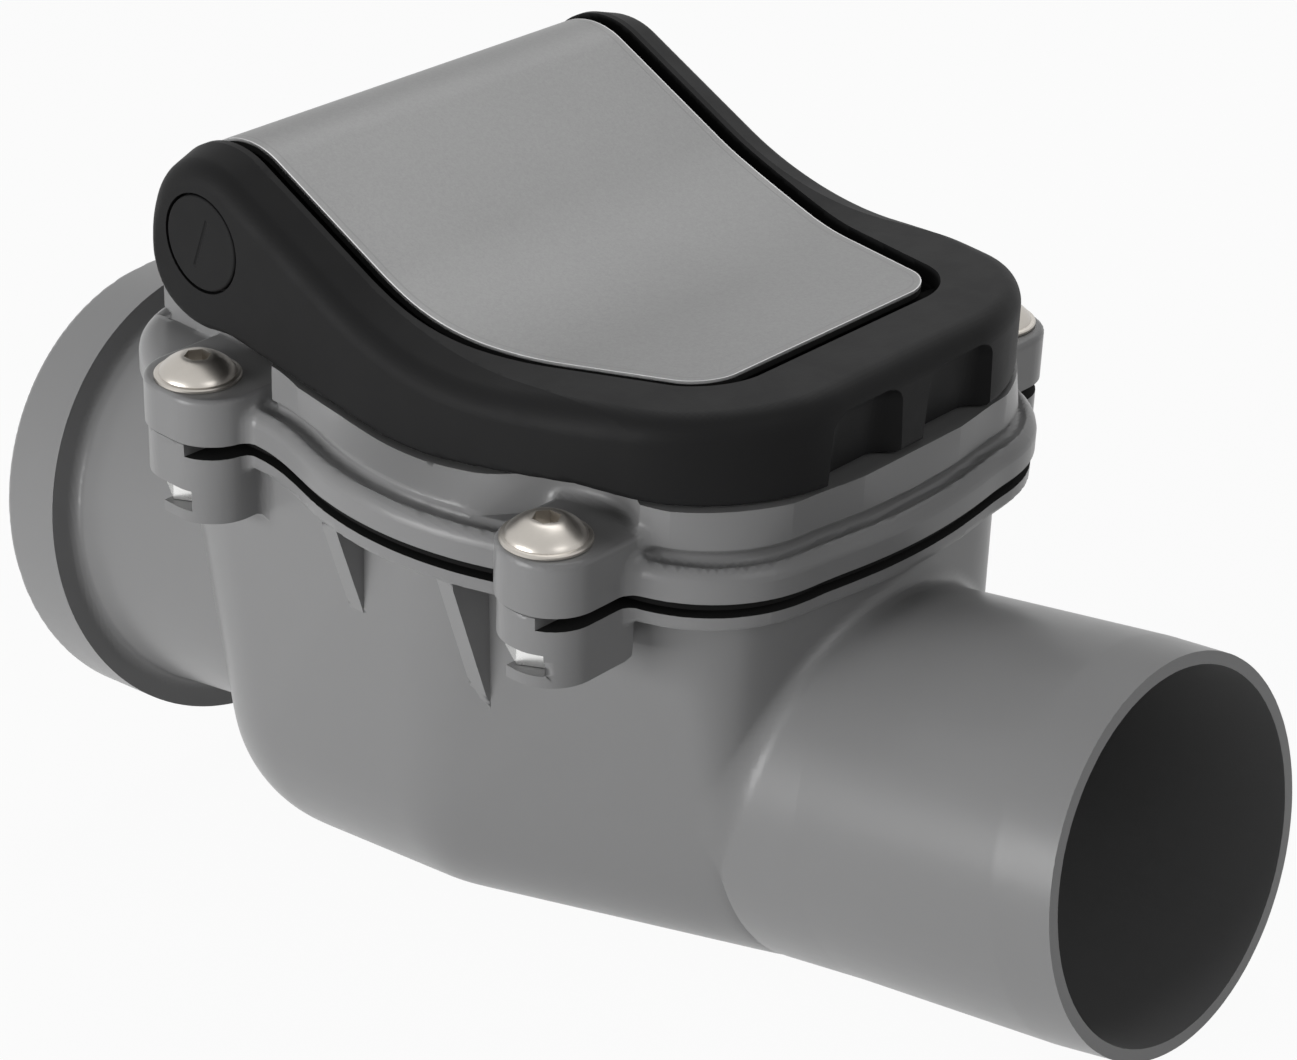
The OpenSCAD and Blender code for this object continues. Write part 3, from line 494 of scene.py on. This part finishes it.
def chamber_hull():
    """The chamber's outer form: flange outline, rounded bottom and spigot root under one tight skin."""
    ring = outline_ring(OVERHANG)
    points = [from_deck(np.column_stack([ring, np.full(len(ring), w)])) for w in (FLANGE_UNDER, 8.0)]
    turn = np.linspace(0, 2 * math.pi, 96, endpoint=False)
    dip = np.linspace(-math.pi / 2, 0.5, 40)
    around = np.stack([np.cos(turn), np.sin(turn)], axis=1)
    ball = [(c * x, c * y, d) for c, d in zip(np.cos(dip), np.sin(dip)) for x, y in around]
    ball = np.array(ball) * BELLY_R
    for x, z in BELLY_SPOTS:
        for side in (-1, 1):
            points.append(ball[ball[:, 1] * side >= -0.1] + (x, side * BELLY_Y, z))
    root = np.column_stack([np.full(len(turn), ROOT_X), ROOT_R * around])
    points.append(root + (0.0, 0.0, OUTLET_Z))
    mesh = bmesh.new()
    for p in np.concatenate(points):
        mesh.verts.new(p)
    shell = bmesh.ops.convex_hull(mesh, input=mesh.verts)
    loose = {v for v in shell["geom_interior"] + shell["geom_unused"] if isinstance(v, bmesh.types.BMVert)}
    bmesh.ops.delete(mesh, geom=list(loose), context="VERTS")
    bmesh.ops.triangulate(mesh, faces=mesh.faces)
    mesh.verts.index_update()
    spots = np.array([v.co for v in mesh.verts])
    faces = np.array([[v.index for v in f.verts] for f in mesh.faces], dtype=np.uint32)
    mesh.free()
    return spots, faces


CHAMBER = Field(*chamber_hull(), *BODY_BOX, BODY_STEP, CHAMBER_REACH)


def body_shape(x, y, z):
    u, w = to_deck(x, z)
    from_inlet = np.hypot(y, z)
    from_outlet = np.hypot(y, z - OUTLET_Z)
    chamber = CHAMBER(x, y, z)
    lead = LEAD_DROP * np.clip((x - BODY_LEN + SPIGOT_LEAD) / SPIGOT_LEAD, 0, 1)
    draft = (ROOT_R - PIPE_R) * np.clip((WALL_X - x) / (WALL_X - ROOT_X), 0, 1)
    spigot = both(from_outlet - PIPE_R - draft + lead, x - BODY_LEN, ROOT_X - SPIGOT_INTO - x)
    band = from_inlet - BEAD_R + BEAD_TAPER * np.clip(1 - x / BEAD_LEN, 0, 1)
    bead = both(round_both(band, -x, BEAD_EDGE_R), x - BEAD_LEN)
    barrel = both(from_inlet - BARREL_R, x - SOCKET_DEPTH - CHAMBER_WALL)
    neck = round_either(bead, both(barrel, BARREL_X - x), BEAD_FOOT_R)
    shell = round_either(chamber, spigot, 0.01 + SADDLE_R * ramp(z, *SADDLE_Z))
    shell = round_either(shell, neck, NECK_FILLET)
    flange = round_both(deck_outline(u, y, BODY_INSET), FLANGE_UNDER - w, FLANGE_EDGE_R)
    shell = round_either(shell, flange, FLANGE_FILLET)
    near_bolt = bolt_distance(u, y)
    lug_under = at_ends(u, LUG_UNDERS)
    lugs = both(lug_plan(u, y, LUG_R - BODY_INSET), lug_under - w, BODY_LUG_IN - np.abs(y))
    shell = round_either(shell, lugs, LUG_FILLET)
    for rib_u in RIB_US:
        reach = math.sqrt(BULGE_R ** 2 - (rib_u - BULGE_U) ** 2) - BODY_INSET
        lean = math.atan2(RIB_LEAN, RIB_H)
        edge = (np.abs(y) - reach + RIB_INSET) * math.cos(lean) + (FLANGE_UNDER - w) * math.sin(lean)
        rib = both(np.abs(u - rib_u) - RIB_T / 2, edge, w - FLANGE_UNDER, RIB_IN - np.abs(y))
        shell = either(shell, rib)
    shell = both(shell, w - BODY_TOP + FLANGE_DROP)
    pad_plan = both(lug_plan(u, y, LUG_R - BODY_INSET), BOLT_V + PAD_V - np.abs(y), past_bolt(u) - PAD_U)
    pad = both(round_both(pad_plan, w + PAD_GAP, PAD_EDGE_R), lug_under + PAD_ROOT - w)
    shell = either(shell, pad)
    # Inside
    shell = less(shell, chamber + CHAMBER_WALL)
    stub = both(from_inlet - STUB_R, slab(x, SOCKET_DEPTH, SEAT_X))
    shell = either(shell, stub)
    bores = either(
        both(from_inlet - SOCKET_R, x - SOCKET_DEPTH),
        both(from_inlet - SEAT_R, x - SEAT_X - 1.0),
        both(from_inlet - GROOVE_R, slab(x, *GROOVE_X)),
        both(from_outlet - SPIGOT_BORE_R, ROOT_X - BORE_INTO - x))
    shell = less(shell, bores)
    # Nut notches and bolt holes
    below_seat = at_ends(u, NUT_SEATS) - w
    nut_room = both(np.abs(past_bolt(u)) - NUT_AF / 2 - NUT_ROOM, BOLT_V - NUT_REACH - np.abs(y),
                    slab(below_seat, 0.0, NOTCH_H))
    beside = both(slab(past_bolt(u), *NOTCH_U), NOTCH_BACK - np.abs(y), slab(below_seat, 0.0, 2 * NOTCH_H))
    shell = less(less(shell, either(nut_room, beside)), near_bolt - BOLT_HOLE_R)
    return both(shell, OUTLET_Z - ROOT_R - z, -x)


# Meshes from shapes

def put_mesh(name, points, corners):
    """A mesh object from points in metres and a list of faces as equal-length rows."""
    mesh = bpy.data.meshes.new(name)
    counts = np.concatenate([np.full(len(c), c.shape[1]) for c in corners if len(c)])
    loops = np.concatenate([c.ravel() for c in corners if len(c)]).astype(np.int32)
    mesh.vertices.add(len(points))
    mesh.vertices.foreach_set("co", points.astype(np.float32).ravel())
    mesh.loops.add(len(loops))
    mesh.loops.foreach_set("vertex_index", loops)
    mesh.polygons.add(len(counts))
    mesh.polygons.foreach_set("loop_start", np.concatenate([[0], np.cumsum(counts)[:-1]]).astype(np.int32))
    mesh.polygons.foreach_set("loop_total", counts.astype(np.int32))
    mesh.update(calc_edges=True)
    mesh.validate()
    obj = bpy.data.objects.new(name, mesh)
    bpy.context.scene.collection.objects.link(obj)
    return obj


def slope(shape, points, h=0.02):
    """Value and gradient of a shape at points."""
    value = shape(*points.T)
    grad = np.stack([
        (shape(*(points + h * step).T) - shape(*(points - h * step).T)) / (2 * h)
        for step in np.eye(3)], axis=1)
    return value, grad


def on_surface(shape, points, step):
    """Points moved onto a shape's surface, and into its edges and corners where they are near one."""
    for _ in range(2):
        value, grad = slope(shape, points)
        size = np.maximum((grad ** 2).sum(axis=1), 0.25)
        points = points - np.clip(value / size, -step, step)[:, None] * grad
    pull = 0.05
    sums = np.tile(np.eye(3) * pull, (len(points), 1, 1))
    right = points * pull
    for corner in np.ndindex(2, 2, 2):
        spots = points + (np.array(corner) - 0.5) * 0.7 * step
        value, grad = slope(shape, spots)
        size = np.maximum(np.linalg.norm(grad, axis=1), 0.3)
        normal = grad / size[:, None]
        level = (normal * spots).sum(axis=1) - value / size
        sums += normal[:, :, None] * normal[:, None, :]
        right += normal * level[:, None]
    moved = np.linalg.solve(sums, right[:, :, None])[:, :, 0] - points
    length = np.maximum(np.linalg.norm(moved, axis=1, keepdims=True), 1e-9)
    return points + moved * np.minimum(1.0, 0.7 * step / length)


def skin(name, shape, low, high, step, place=None):
    """The surface of a shape between two corners, as a mesh with the shape's own normals.

    A normal is read a little inward from its face's corner, so that sharp edges stay sharp.
    """
    axes = [np.arange(a, b + step, step, dtype=np.float32) for a, b in zip(low, high)]
    field = np.asarray(shape(*np.meshgrid(*axes, indexing="ij", sparse=True)), dtype=np.float32)
    grid = openvdb.FloatGrid(3 * step)
    grid.copyFromArray(field)
    points, triangles, quads = grid.convertToPolygons(isovalue=0.0, adaptivity=0.0)
    points = on_surface(shape, points * step + np.array(low), step)
    obj = put_mesh(name, (place(points) if place else points) * MM, [triangles, quads])
    mesh = obj.data
    corners = np.empty(len(mesh.loops), dtype=np.int32)
    mesh.loops.foreach_get("vertex_index", corners)
    sides = np.empty(len(mesh.polygons), dtype=np.int32)
    mesh.polygons.foreach_get("loop_total", sides)
    owner = np.repeat(np.arange(len(sides)), sides)
    middle = np.stack([np.bincount(owner, points[corners, k]) for k in range(3)], axis=1) / sides[:, None]
    inward = 0.35
    normals = slope(shape, points[corners] * (1 - inward) + middle[owner] * inward)[1]
    normals /= np.maximum(np.linalg.norm(normals, axis=1, keepdims=True), 1e-9)
    if place:
        normals = place(normals) - place(np.zeros((1, 3)))
    mesh.polygons.foreach_set("use_smooth", np.ones(len(sides), dtype=bool))
    mesh.normals_split_custom_set(normals.astype(np.float32))
    return obj, points


def freeze(obj):
    """The object's mesh with its modifiers applied and removed."""
    seen = obj.evaluated_get(bpy.context.evaluated_depsgraph_get())
    mesh = bpy.data.meshes.new_from_object(seen)
    obj.modifiers.clear()
    return mesh


# Materials

def input_socket(node, key):
    """A node's input: i3 is its fourth, any other key is its name with _ for spaces."""
    return node.inputs[int(key[1:])] if key[1:].isdigit() else node.inputs[key.replace("_", " ")]


class Val:
    """A socket of a material's node tree that takes part in Python arithmetic."""

    def __init__(self, tree, socket):
        self.tree, self.socket = tree, socket

    def node(self, kind, settings=None, output=0, **values):
        """Adds a node, with its settings first and then the values or links of its sockets."""
        made = self.tree.nodes.new(kind)
        for key, value in (settings or {}).items():
            setattr(made, key, value)
        for key, value in values.items():
            spot = input_socket(made, key)
            if isinstance(value, Val):
                self.tree.links.new(value.socket, spot)
            else:
                spot.default_value = value
        return Val(self.tree, made.outputs[output])

    def maths(self, operation, a, b):
        return self.node("ShaderNodeMath", {"operation": operation}, i0=a, i1=b)

    def __add__(self, other):
        return self.maths("ADD", self, other)

    __radd__ = __add__

    def __sub__(self, other):
        return self.maths("SUBTRACT", self, other)

    def __rsub__(self, other):
        return self.maths("SUBTRACT", other, self)

    def __mul__(self, other):
        return self.maths("MULTIPLY", self, other)

    __rmul__ = __mul__

    def band(self, low, high):
        """0 below low and 1 above high, smooth between."""
        return self.node("ShaderNodeMapRange", {"interpolation_type": "SMOOTHSTEP"},
                         Value=self, From_Min=low, From_Max=high)


def finish(name, rough, metal=0.0, specular=0.5):
    """A new material, its shader, its node maker and its coordinates."""
    mat = bpy.data.materials.new(name)
    mat.use_nodes = True
    shader = mat.node_tree.nodes["Principled BSDF"]
    shader.inputs["Roughness"].default_value = rough
    shader.inputs["Metallic"].default_value = metal
    shader.inputs["Specular IOR Level"].default_value = specular
    made = Val(mat.node_tree, None)
    where = made.node("ShaderNodeTexCoord", output=3)
    return mat, shader, made, where


def feed(node, socket, value):
    value.tree.links.new(value.socket, node.inputs[socket])


def noise(made, where, scale, detail=3.0, rough=0.5):
    return made.node("ShaderNodeTexNoise", Vector=where, Scale=scale, Detail=detail, Roughness=rough)


def tint(made, amount, dark, light):
    """A mix of two colours, each given as numbers or as a socket."""
    dark, light = (c if isinstance(c, Val) else (*c, 1) for c in (dark, light))
    return made.node("ShaderNodeMix", {"data_type": "RGBA"}, 2, i0=amount, i6=dark, i7=light)


def mark(made, name):
    """A number kept on the mesh under that name."""
    return made.node("ShaderNodeAttribute", {"attribute_name": name}, 2)


def relief(made, shader, height, strength, distance):
    bump = made.node("ShaderNodeBump", Strength=strength, Distance=distance, Height=height)
    feed(shader, "Normal", bump)


def moulded_plastic(name, dark, light, rough, spread, grain, specular=0.5):
    """Moulded plastic: faint flow marks, handling marks and a fine grain, with painted shade in black where
    shaded is 1.
    """
    mat, shader, made, where = finish(name, rough, specular=specular)
    flow = noise(made, where, 35.0, 2.0)
    wear = noise(made, where, 180.0, 4.0, 0.65)
    fine = noise(made, where, 2600.0, 2.0)
    shaded = mark(made, "shaded")
    colour = tint(made, flow * 0.7 + wear * 0.3, dark, light)
    feed(shader, "Base Color", tint(made, shaded, colour, SHADOW_BLACK))
    feed(shader, "Roughness", rough - spread / 2 + spread * wear.band(0.3, 0.7) + shaded * 0.5)
    relief(made, shader, fine + flow * 0.6, grain, 0.0001)
    return mat


def grained_metal(name, dark, light, rough):
    """Finely grained satin sheet with a fine line inside its edge, a painted highlight along its edge and
    painted shade in black on its sides below the top.
    """
    mat, shader, made, where = finish(name, rough, metal=0.35)
    fine = noise(made, where, 3600.0, 3.0, 0.7)
    speck = noise(made, where, 1600.0, 2.0)
    cloud = noise(made, where, 60.0, 2.0)
    edge = mark(made, "edge_mm")
    line = edge.band(-1.3, -1.15) * (1 - edge.band(-1.05, -0.9))
    grain = fine * 0.6 + speck * 0.25 + cloud * 0.15
    deep = mark(made, "deep_mm").band(0.3, 0.42)
    colour = tint(made, grain.band(0.3, 0.7) * (1 - line * 0.9), dark, light)
    # Painted highlight along the edge (0.8) and painted shade on the sides below the top (near black)
    for amount, to in ((edge.band(-0.25, -0.1), 0.8), (deep, 0.001)):
        colour = tint(made, amount, colour, (to, to, to))
    feed(shader, "Base Color", colour)
    feed(shader, "Roughness", rough + 0.16 * fine + deep * 0.5)
    relief(made, shader, fine * 0.5 + speck * 0.5 - line * 0.8, 0.25, 0.0001)
    return mat


def satin_metal(name, dark, light, rough, scale=900.0):
    """Turned or pressed metal with fine marks."""
    mat, shader, made, where = finish(name, rough, metal=1.0)
    marks = noise(made, where, scale, 3.0, 0.7)
    cloud = noise(made, where, 220.0, 2.0)
    feed(shader, "Base Color", tint(made, marks * 0.5 + cloud * 0.5, dark, light))
    feed(shader, "Roughness", rough - 0.05 + 0.14 * cloud)
    relief(made, shader, marks, 0.06, 0.00005)
    return mat


def rubber(name):
    mat, shader, made, where = finish(name, 0.7, specular=0.1)
    bloom = noise(made, where, 300.0, 4.0, 0.6)
    feed(shader, "Base Color", tint(made, bloom, (0.003, 0.003, 0.003), (0.006, 0.006, 0.006)))
    feed(shader, "Roughness", 0.6 + 0.2 * bloom)
    relief(made, shader, bloom, 0.2, 0.0001)
    return mat


GREY = (0.258, 0.258, 0.26), (0.270, 0.270, 0.272)
DULL_GREY = (0.215, 0.215, 0.217), (0.23, 0.23, 0.232)
BLACK = (0.009, 0.009, 0.0093), (0.011, 0.011, 0.0113)
BODY_GREY = moulded_plastic("body_grey", *GREY, 0.32, 0.03, 0.02, 0.3)
COVER_GREY = moulded_plastic("cover_grey", *GREY, 0.32, 0.03, 0.02, 0.3)
FLAP_GREY = moulded_plastic("flap_grey", *DULL_GREY, 0.42, 0.05, 0.04, 0.3)
LEVER_BLACK = moulded_plastic("lever_black", *BLACK, 0.58, 0.05, 0.06, 0.12)
CAP_BLACK = moulded_plastic("cap_black", *BLACK, 0.58, 0.05, 0.06, 0.12)
PLATE_GREY = grained_metal("plate_grained", (0.27, 0.27, 0.27), (0.33, 0.33, 0.33), 0.42)
BOLT_STEEL = satin_metal("bolt_steel", (0.44, 0.415, 0.38), (0.52, 0.49, 0.45), 0.32)
NUT_STEEL = satin_metal("nut_steel", (0.78, 0.78, 0.77), (0.88, 0.88, 0.87), 0.25)
PIN_STEEL = satin_metal("pin_steel", (0.52, 0.52, 0.51), (0.62, 0.62, 0.61), 0.26)
AXLE_BRASS = satin_metal("axle_brass", (0.55, 0.40, 0.17), (0.66, 0.50, 0.24), 0.3)
RUBBER = rubber("seal_rubber")


def dress(obj, mat):
    obj.data.materials.clear()
    obj.data.materials.append(mat)


# Shaped pieces

def shaped_piece(name, node, body, slot, mat, shape, low, high, step, place=None):
    obj, points = skin(name, shape, low, high, step, place)
    dress(obj, mat)
    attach(obj, body)
    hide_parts(node)
    return obj, points


def keep(obj, name, values, domain="POINT"):
    """Keeps a number for each point or face on the mesh, for its material to read."""
    obj.data.attributes.new(name, "FLOAT", domain).data.foreach_set("value", values.astype(np.float32))


body, _ = shaped_piece("valve_body_skin", "valve_body", "housing", "body_plastic", BODY_GREY, body_shape,
                       *BODY_BOX, BODY_STEP)
# Painted shade: faces on the flange's upper face in the joint under the cover are painted black, and the
# back walls of the nut notches 0.7 of the way to black, where shadow falls
middles, facing = np.empty((2, len(body.data.polygons), 3))
body.data.polygons.foreach_get("center", middles.ravel())
body.data.polygons.foreach_get("normal", facing.ravel())
mid_x, mid_y, mid_z = middles.T / MM
mid_u, mid_w = to_deck(mid_x, mid_z)
in_joint = (np.abs(mid_w - BODY_TOP + FLANGE_DROP) < 0.12) & (facing[:, 2] > 0.8)
below_seat = at_ends(mid_u, NUT_SEATS) - mid_w
notch_wall = both(np.abs(np.abs(mid_y) - NOTCH_BACK) - 0.1, slab(below_seat, 0.0, 2 * NOTCH_H),
                  slab(past_bolt(mid_u), *NOTCH_U), 0.9 - np.abs(facing[:, 1])) < 0
keep(body, "shaded", np.maximum(in_joint, 0.7 * notch_wall), "FACE")
shaped_piece("cover_skin", "cover", "housing", "cover_plastic", COVER_GREY, cover_shape,
             *COVER_BOX, COVER_STEP, from_deck)
lever, points = shaped_piece("lever_skin", "lever", "lever", "lever_plastic", LEVER_BLACK, lever_shape,
                             *LEVER_BOX, LEVER_STEP, from_deck)
lever_u, lever_v, lever_w = points.T
# Painted shade: the floor of the groove around the plate is painted black where shadow falls
groove = both(plate_plan(lever_u, lever_v, PLATE_GAP + 0.1, FRONT_GAP), hood_side(lever_u, lever_w, 0.15))
keep(lever, "shaded", groove < 0)
plate, points = shaped_piece("plate_skin", "lever_plate", "lever", "plate_metal", PLATE_GREY, plate_shape,
                             *PLATE_BOX, PLATE_STEP, from_deck)
plate_u, plate_v, plate_w = points.T
keep(plate, "edge_mm", plate_plan(plate_u, plate_v))
# deep_mm is the depth below the plate's top: the material paints the sides below it black as painted shade
keep(plate, "deep_mm", -hood_side(plate_u, plate_w, RECESS_D - PLATE_T))
for name, node, side in (("cap_left_skin", "pivot_cap_left", -1), ("cap_right_skin", "pivot_cap_right", 1)):
    near, far = sorted((side * (LEVER_HALF - CAP_T - 0.5), side * (LEVER_HALF + 0.5)))
    half = CAP_R + 1
    shaped_piece(name, node, "lever", "cap_plastic", CAP_BLACK, cap_shape,
                 (PIVOT_U - half, near, PIVOT_W - half), (PIVOT_U + half, far, PIVOT_W + half),
                 CAP_STEP, from_deck)


# Repeated fasteners, from Geometry Nodes

class Tree:
    """A Geometry Nodes tree that sets pieces out on the points it is given."""

    def __init__(self, name, sizes):
        self.tree = bpy.data.node_groups.new(name, "GeometryNodeTree")
        self.tree.interface.new_socket("Geometry", in_out="INPUT", socket_type="NodeSocketGeometry")
        self.sizes = {}
        for key, value in sizes.items():
            spot = self.tree.interface.new_socket(key, in_out="INPUT", socket_type="NodeSocketFloat")
            self.sizes[spot.identifier] = value
        self.tree.interface.new_socket("Geometry", in_out="OUTPUT", socket_type="NodeSocketGeometry")
        self.enter = self.tree.nodes.new("NodeGroupInput")
        self.leave = self.tree.nodes.new("NodeGroupOutput")

    def size(self, key):
        return self.enter.outputs[key]

    def add(self, kind, settings=None, output=0, **values):
        made = self.tree.nodes.new(kind)
        for key, value in (settings or {}).items():
            setattr(made, key, value)
        for key, value in values.items():
            spot = input_socket(made, key)
            if isinstance(value, bpy.types.NodeSocket):
                self.tree.links.new(value, spot)
            else:
                spot.default_value = value
        if isinstance(output, tuple):
            return [made.outputs[name] for name in output]
        return made.outputs[output]

    def maths(self, operation, a, b):
        return self.add("ShaderNodeMath", {"operation": operation}, i0=a, i1=b)

    def up(self, height):
        return self.add("ShaderNodeCombineXYZ", Z=height)

    def cylinder(self, corners, radius, depth):
        return self.add("GeometryNodeMeshCylinder", {"fill_type": "NGON"},
                        Vertices=corners, Radius=radius, Depth=depth)

    def close(self, piece, mat, turn):
        """Sets the piece on every point, turned with the deck, and ends the tree."""
        angle = self.add("GeometryNodeInputMeshEdgeAngle")
        smooth = self.add("FunctionNodeCompare", {"operation": "LESS_THAN"}, i0=angle, i1=0.5)
        piece = self.add("GeometryNodeSetShadeSmooth", {"domain": "FACE"}, Geometry=piece)
        piece = self.add("GeometryNodeSetShadeSmooth", {"domain": "EDGE"},
                         Geometry=piece, Shade_Smooth=smooth)
        spread = self.add("GeometryNodeInstanceOnPoints", Points=self.enter.outputs["Geometry"],
                          Instance=piece, Rotation=turn)
        spread = self.add("GeometryNodeRealizeInstances", Geometry=spread)
        spread = self.add("GeometryNodeSetMaterial", Geometry=spread, Material=mat)
        self.tree.links.new(spread, self.leave.inputs[0])


def set_out(name, tree, places):
    """A mesh of the tree's pieces at those places."""
    mesh = bpy.data.meshes.new(name)
    mesh.from_pydata([tuple(p) for p in places], [], [])
    obj = bpy.data.objects.new(name, mesh)
    bpy.context.scene.collection.objects.link(obj)
    mod = obj.modifiers.new("fasteners", "NODES")
    mod.node_group = tree.tree
    for key, value in tree.sizes.items():
        mod[key] = value
    obj.data = freeze(obj)
    return obj


# Bolt head's profile from its seat up: shares of its half width and of its height
BOLT_HEAD = ((0.97, 0.0), (1.0, 0.05), (1.0, 0.15), (0.97, 0.20), (0.89, 0.22), (0.87, 0.33), (0.82, 0.46),
             (0.74, 0.61), (0.65, 0.74), (0.56, 0.85), (0.48, 0.93), (0.43, 0.97), (0.39, 0.99), (0.36, 1.0))


def bolt_tree():
    """Bolt heads only, open where they lie on the lugs: their shanks are hidden."""
    t = Tree("button_head_bolt", {
        "Head Width": 11.0 * MM, "Head Height": 2.8 * MM, "Key Width": 3.0 * MM, "Key Depth": 1.7 * MM})
    half = t.maths("MULTIPLY", t.size("Head Width"), 0.5)
    wide, high = BOLT_HEAD[0]
    head = t.add("GeometryNodeMeshCircle", {"fill_type": "NGON"},
                 Vertices=72, Radius=t.maths("MULTIPLY", half, wide))
    top = True
    for next_wide, next_high in BOLT_HEAD[1:]:
        rise = t.maths("MULTIPLY", t.size("Head Height"), next_high - high)
        head, top = t.add("GeometryNodeExtrudeMesh", output=("Mesh", "Top"),
                          Mesh=head, Selection=top, Offset=t.up(rise))
        head = t.add("GeometryNodeScaleElements", Geometry=head, Selection=top, Scale=next_wide / wide)
        wide, high = next_wide, next_high
    key_r = t.maths("DIVIDE", t.size("Key Width"), math.sqrt(3))
    key = t.cylinder(6, key_r, t.maths("MULTIPLY", t.size("Key Depth"), 2.0))
    key = t.add("GeometryNodeTransform", Geometry=key, Translation=t.up(t.size("Head Height")))
    head = t.add("GeometryNodeMeshBoolean", {"operation": "DIFFERENCE", "solver": "EXACT"},
                 Mesh_1=head, Mesh_2=key)
    t.close(head, BOLT_STEEL, (0.0, DECK_TILT, 0.0))
    return t


def nut_tree():
    t = Tree("hex_nut", {"Across Flats": NUT_AF * MM, "Thickness": NUT_T * MM})
    corner = t.maths("DIVIDE", t.size("Across Flats"), math.sqrt(3))
    hexagon = t.cylinder(6, corner, t.size("Thickness"))
    hexagon = t.add("GeometryNodeTransform", Geometry=hexagon, Rotation=(0.0, 0.0, math.radians(30)))
    t.close(hexagon, NUT_STEEL, (0.0, DECK_TILT, 0.0))
    return t


def bolt_places(heights):
    spots = np.array([(su * BOLT_U, sv * BOLT_V, w) for su, w in zip((1, -1), heights) for sv in (-1, 1)])
    return from_deck(spots) * MM


for name, node, slot, tree, heights in (
        ("cover_bolts_set", "cover_bolts", "bolt_steel", bolt_tree(), LUG_TOPS),
        ("cover_nuts_set", "cover_nuts", "nut_steel", nut_tree(), np.array(NUT_SEATS) - NUT_T / 2)):
    piece = set_out(name, tree, bolt_places(heights))
    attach(piece, "housing")
    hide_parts(node)

# Finishes of the plain CAD pieces
for node, mat in {
        "inlet_lip_seal": RUBBER, "cover_gasket": RUBBER, "flap_seal": RUBBER,
        "axle_o_ring_left": RUBBER, "axle_o_ring_right": RUBBER,
        "lever_axle": AXLE_BRASS, "axle_bush_left": AXLE_BRASS, "axle_bush_right": AXLE_BRASS,
        "axle_washers": PIN_STEEL, "axle_screws": PIN_STEEL, "locking_cam": PIN_STEEL, "cam_pin": PIN_STEEL,
        "flap": FLAP_GREY, "seal_retainer": PIN_STEEL, "retainer_screws": PIN_STEEL,
        "hinge_pin": PIN_STEEL, "hinge_clips": PIN_STEEL}.items():
    dress(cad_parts[node], mat)


# Floor, light and camera

def seen_directly(made):
    """1 for what the camera, mirrors and glass see, 0 for light that falls on the object."""
    camera, glossy, clear = (made.node("ShaderNodeLightPath", output="Is %s Ray" % kind)
                             for kind in ("Camera", "Glossy", "Transmission"))
    return made.maths("MAXIMUM", made.maths("MAXIMUM", camera, glossy), clear)


def white_ground(name, size, z):
    mesh = bpy.data.meshes.new(name)
    corners = [(x * size, y * size, z) for x, y in ((-1, -1), (1, -1), (1, 1), (-1, 1))]
    mesh.from_pydata(corners, [], [(0, 1, 2, 3)])
    obj = bpy.data.objects.new(name, mesh)
    bpy.context.scene.collection.objects.link(obj)
    mat, shader, made, where = finish(name, 0.9, specular=0.0)
    feed(shader, "Base Color", tint(made, noise(made, where, 3.0), (0.72, 0.72, 0.72), (0.76, 0.76, 0.76)))
    lit = Val(mat.node_tree, shader.outputs[0])
    glow = made.node("ShaderNodeEmission")
    blend = made.node("ShaderNodeMixShader", i0=seen_directly(made) * GROUND_GLOW, i1=lit, i2=glow)
    feed(mat.node_tree.nodes["Material Output"], "Surface", blend)
    dress(obj, mat)


def soft_lamp(name, at, aim, width, height, watts):
    data = bpy.data.lights.new(name, "AREA")
    data.shape, data.size, data.size_y, data.energy = "RECTANGLE", width, height, watts
    obj = bpy.data.objects.new(name, data)
    obj.location = at
    obj.rotation_euler = (Vector(aim) - Vector(at)).to_track_quat("-Z", "Y").to_euler()
    bpy.context.scene.collection.objects.link(obj)


def white_world(strength):
    world = bpy.data.worlds.new("studio")
    bpy.context.scene.world = world
    world.use_nodes = True
    level = seen_directly(Val(world.node_tree, None)) * (1.0 - strength) + strength
    ground = world.node_tree.nodes["Background"]
    ground.inputs["Color"].default_value = (1, 1, 1, 1)
    feed(ground, "Strength", level)


def photo_camera():
    az, el, roll = (math.radians(a) for a in (CAMERA_AZIMUTH, CAMERA_ELEVATION, CAMERA_ROLL))
    ahead = Vector((-math.sin(az) * math.cos(el), math.cos(az) * math.cos(el), -math.sin(el)))
    level = Vector((math.cos(az), math.sin(az), 0))
    upright = level.cross(ahead)
    right = level * math.cos(roll) + upright * math.sin(roll)
    up = right.cross(ahead)
    data = bpy.data.cameras.new("photo")
    data.sensor_fit, data.sensor_width = "HORIZONTAL", SENSOR_MM
    data.lens = FOCAL_PX * SENSOR_MM / IMAGE_W
    data.clip_start, data.clip_end = 0.01, 20.0
    obj = bpy.data.objects.new("photo", data)
    turn = Matrix((right, up, -ahead)).transposed().to_4x4()
    obj.matrix_world = Matrix.Translation(Vector(CAMERA_AT) * MM) @ turn
    bpy.context.scene.collection.objects.link(obj)
    bpy.context.scene.camera = obj


white_ground("floor", 6.0, CAD_BOX[0][2] - 0.0002)
white_world(0.07)
soft_lamp("side_box", (-0.15, -1.15, 0.2), (0.09, 0.0, 0.0), 0.7, 0.45, 9.7)
soft_lamp("top_box", (0.05, 0.5, 1.0), (0.09, 0.0, 0.0), 0.7, 0.7, 3.4)
soft_lamp("end_box", (1.2, -0.1, 0.5), (0.15, 0.0, 0.0), 0.5, 0.5, 1.6)
photo_camera()
bpy.context.scene.view_settings.view_transform = "Standard"
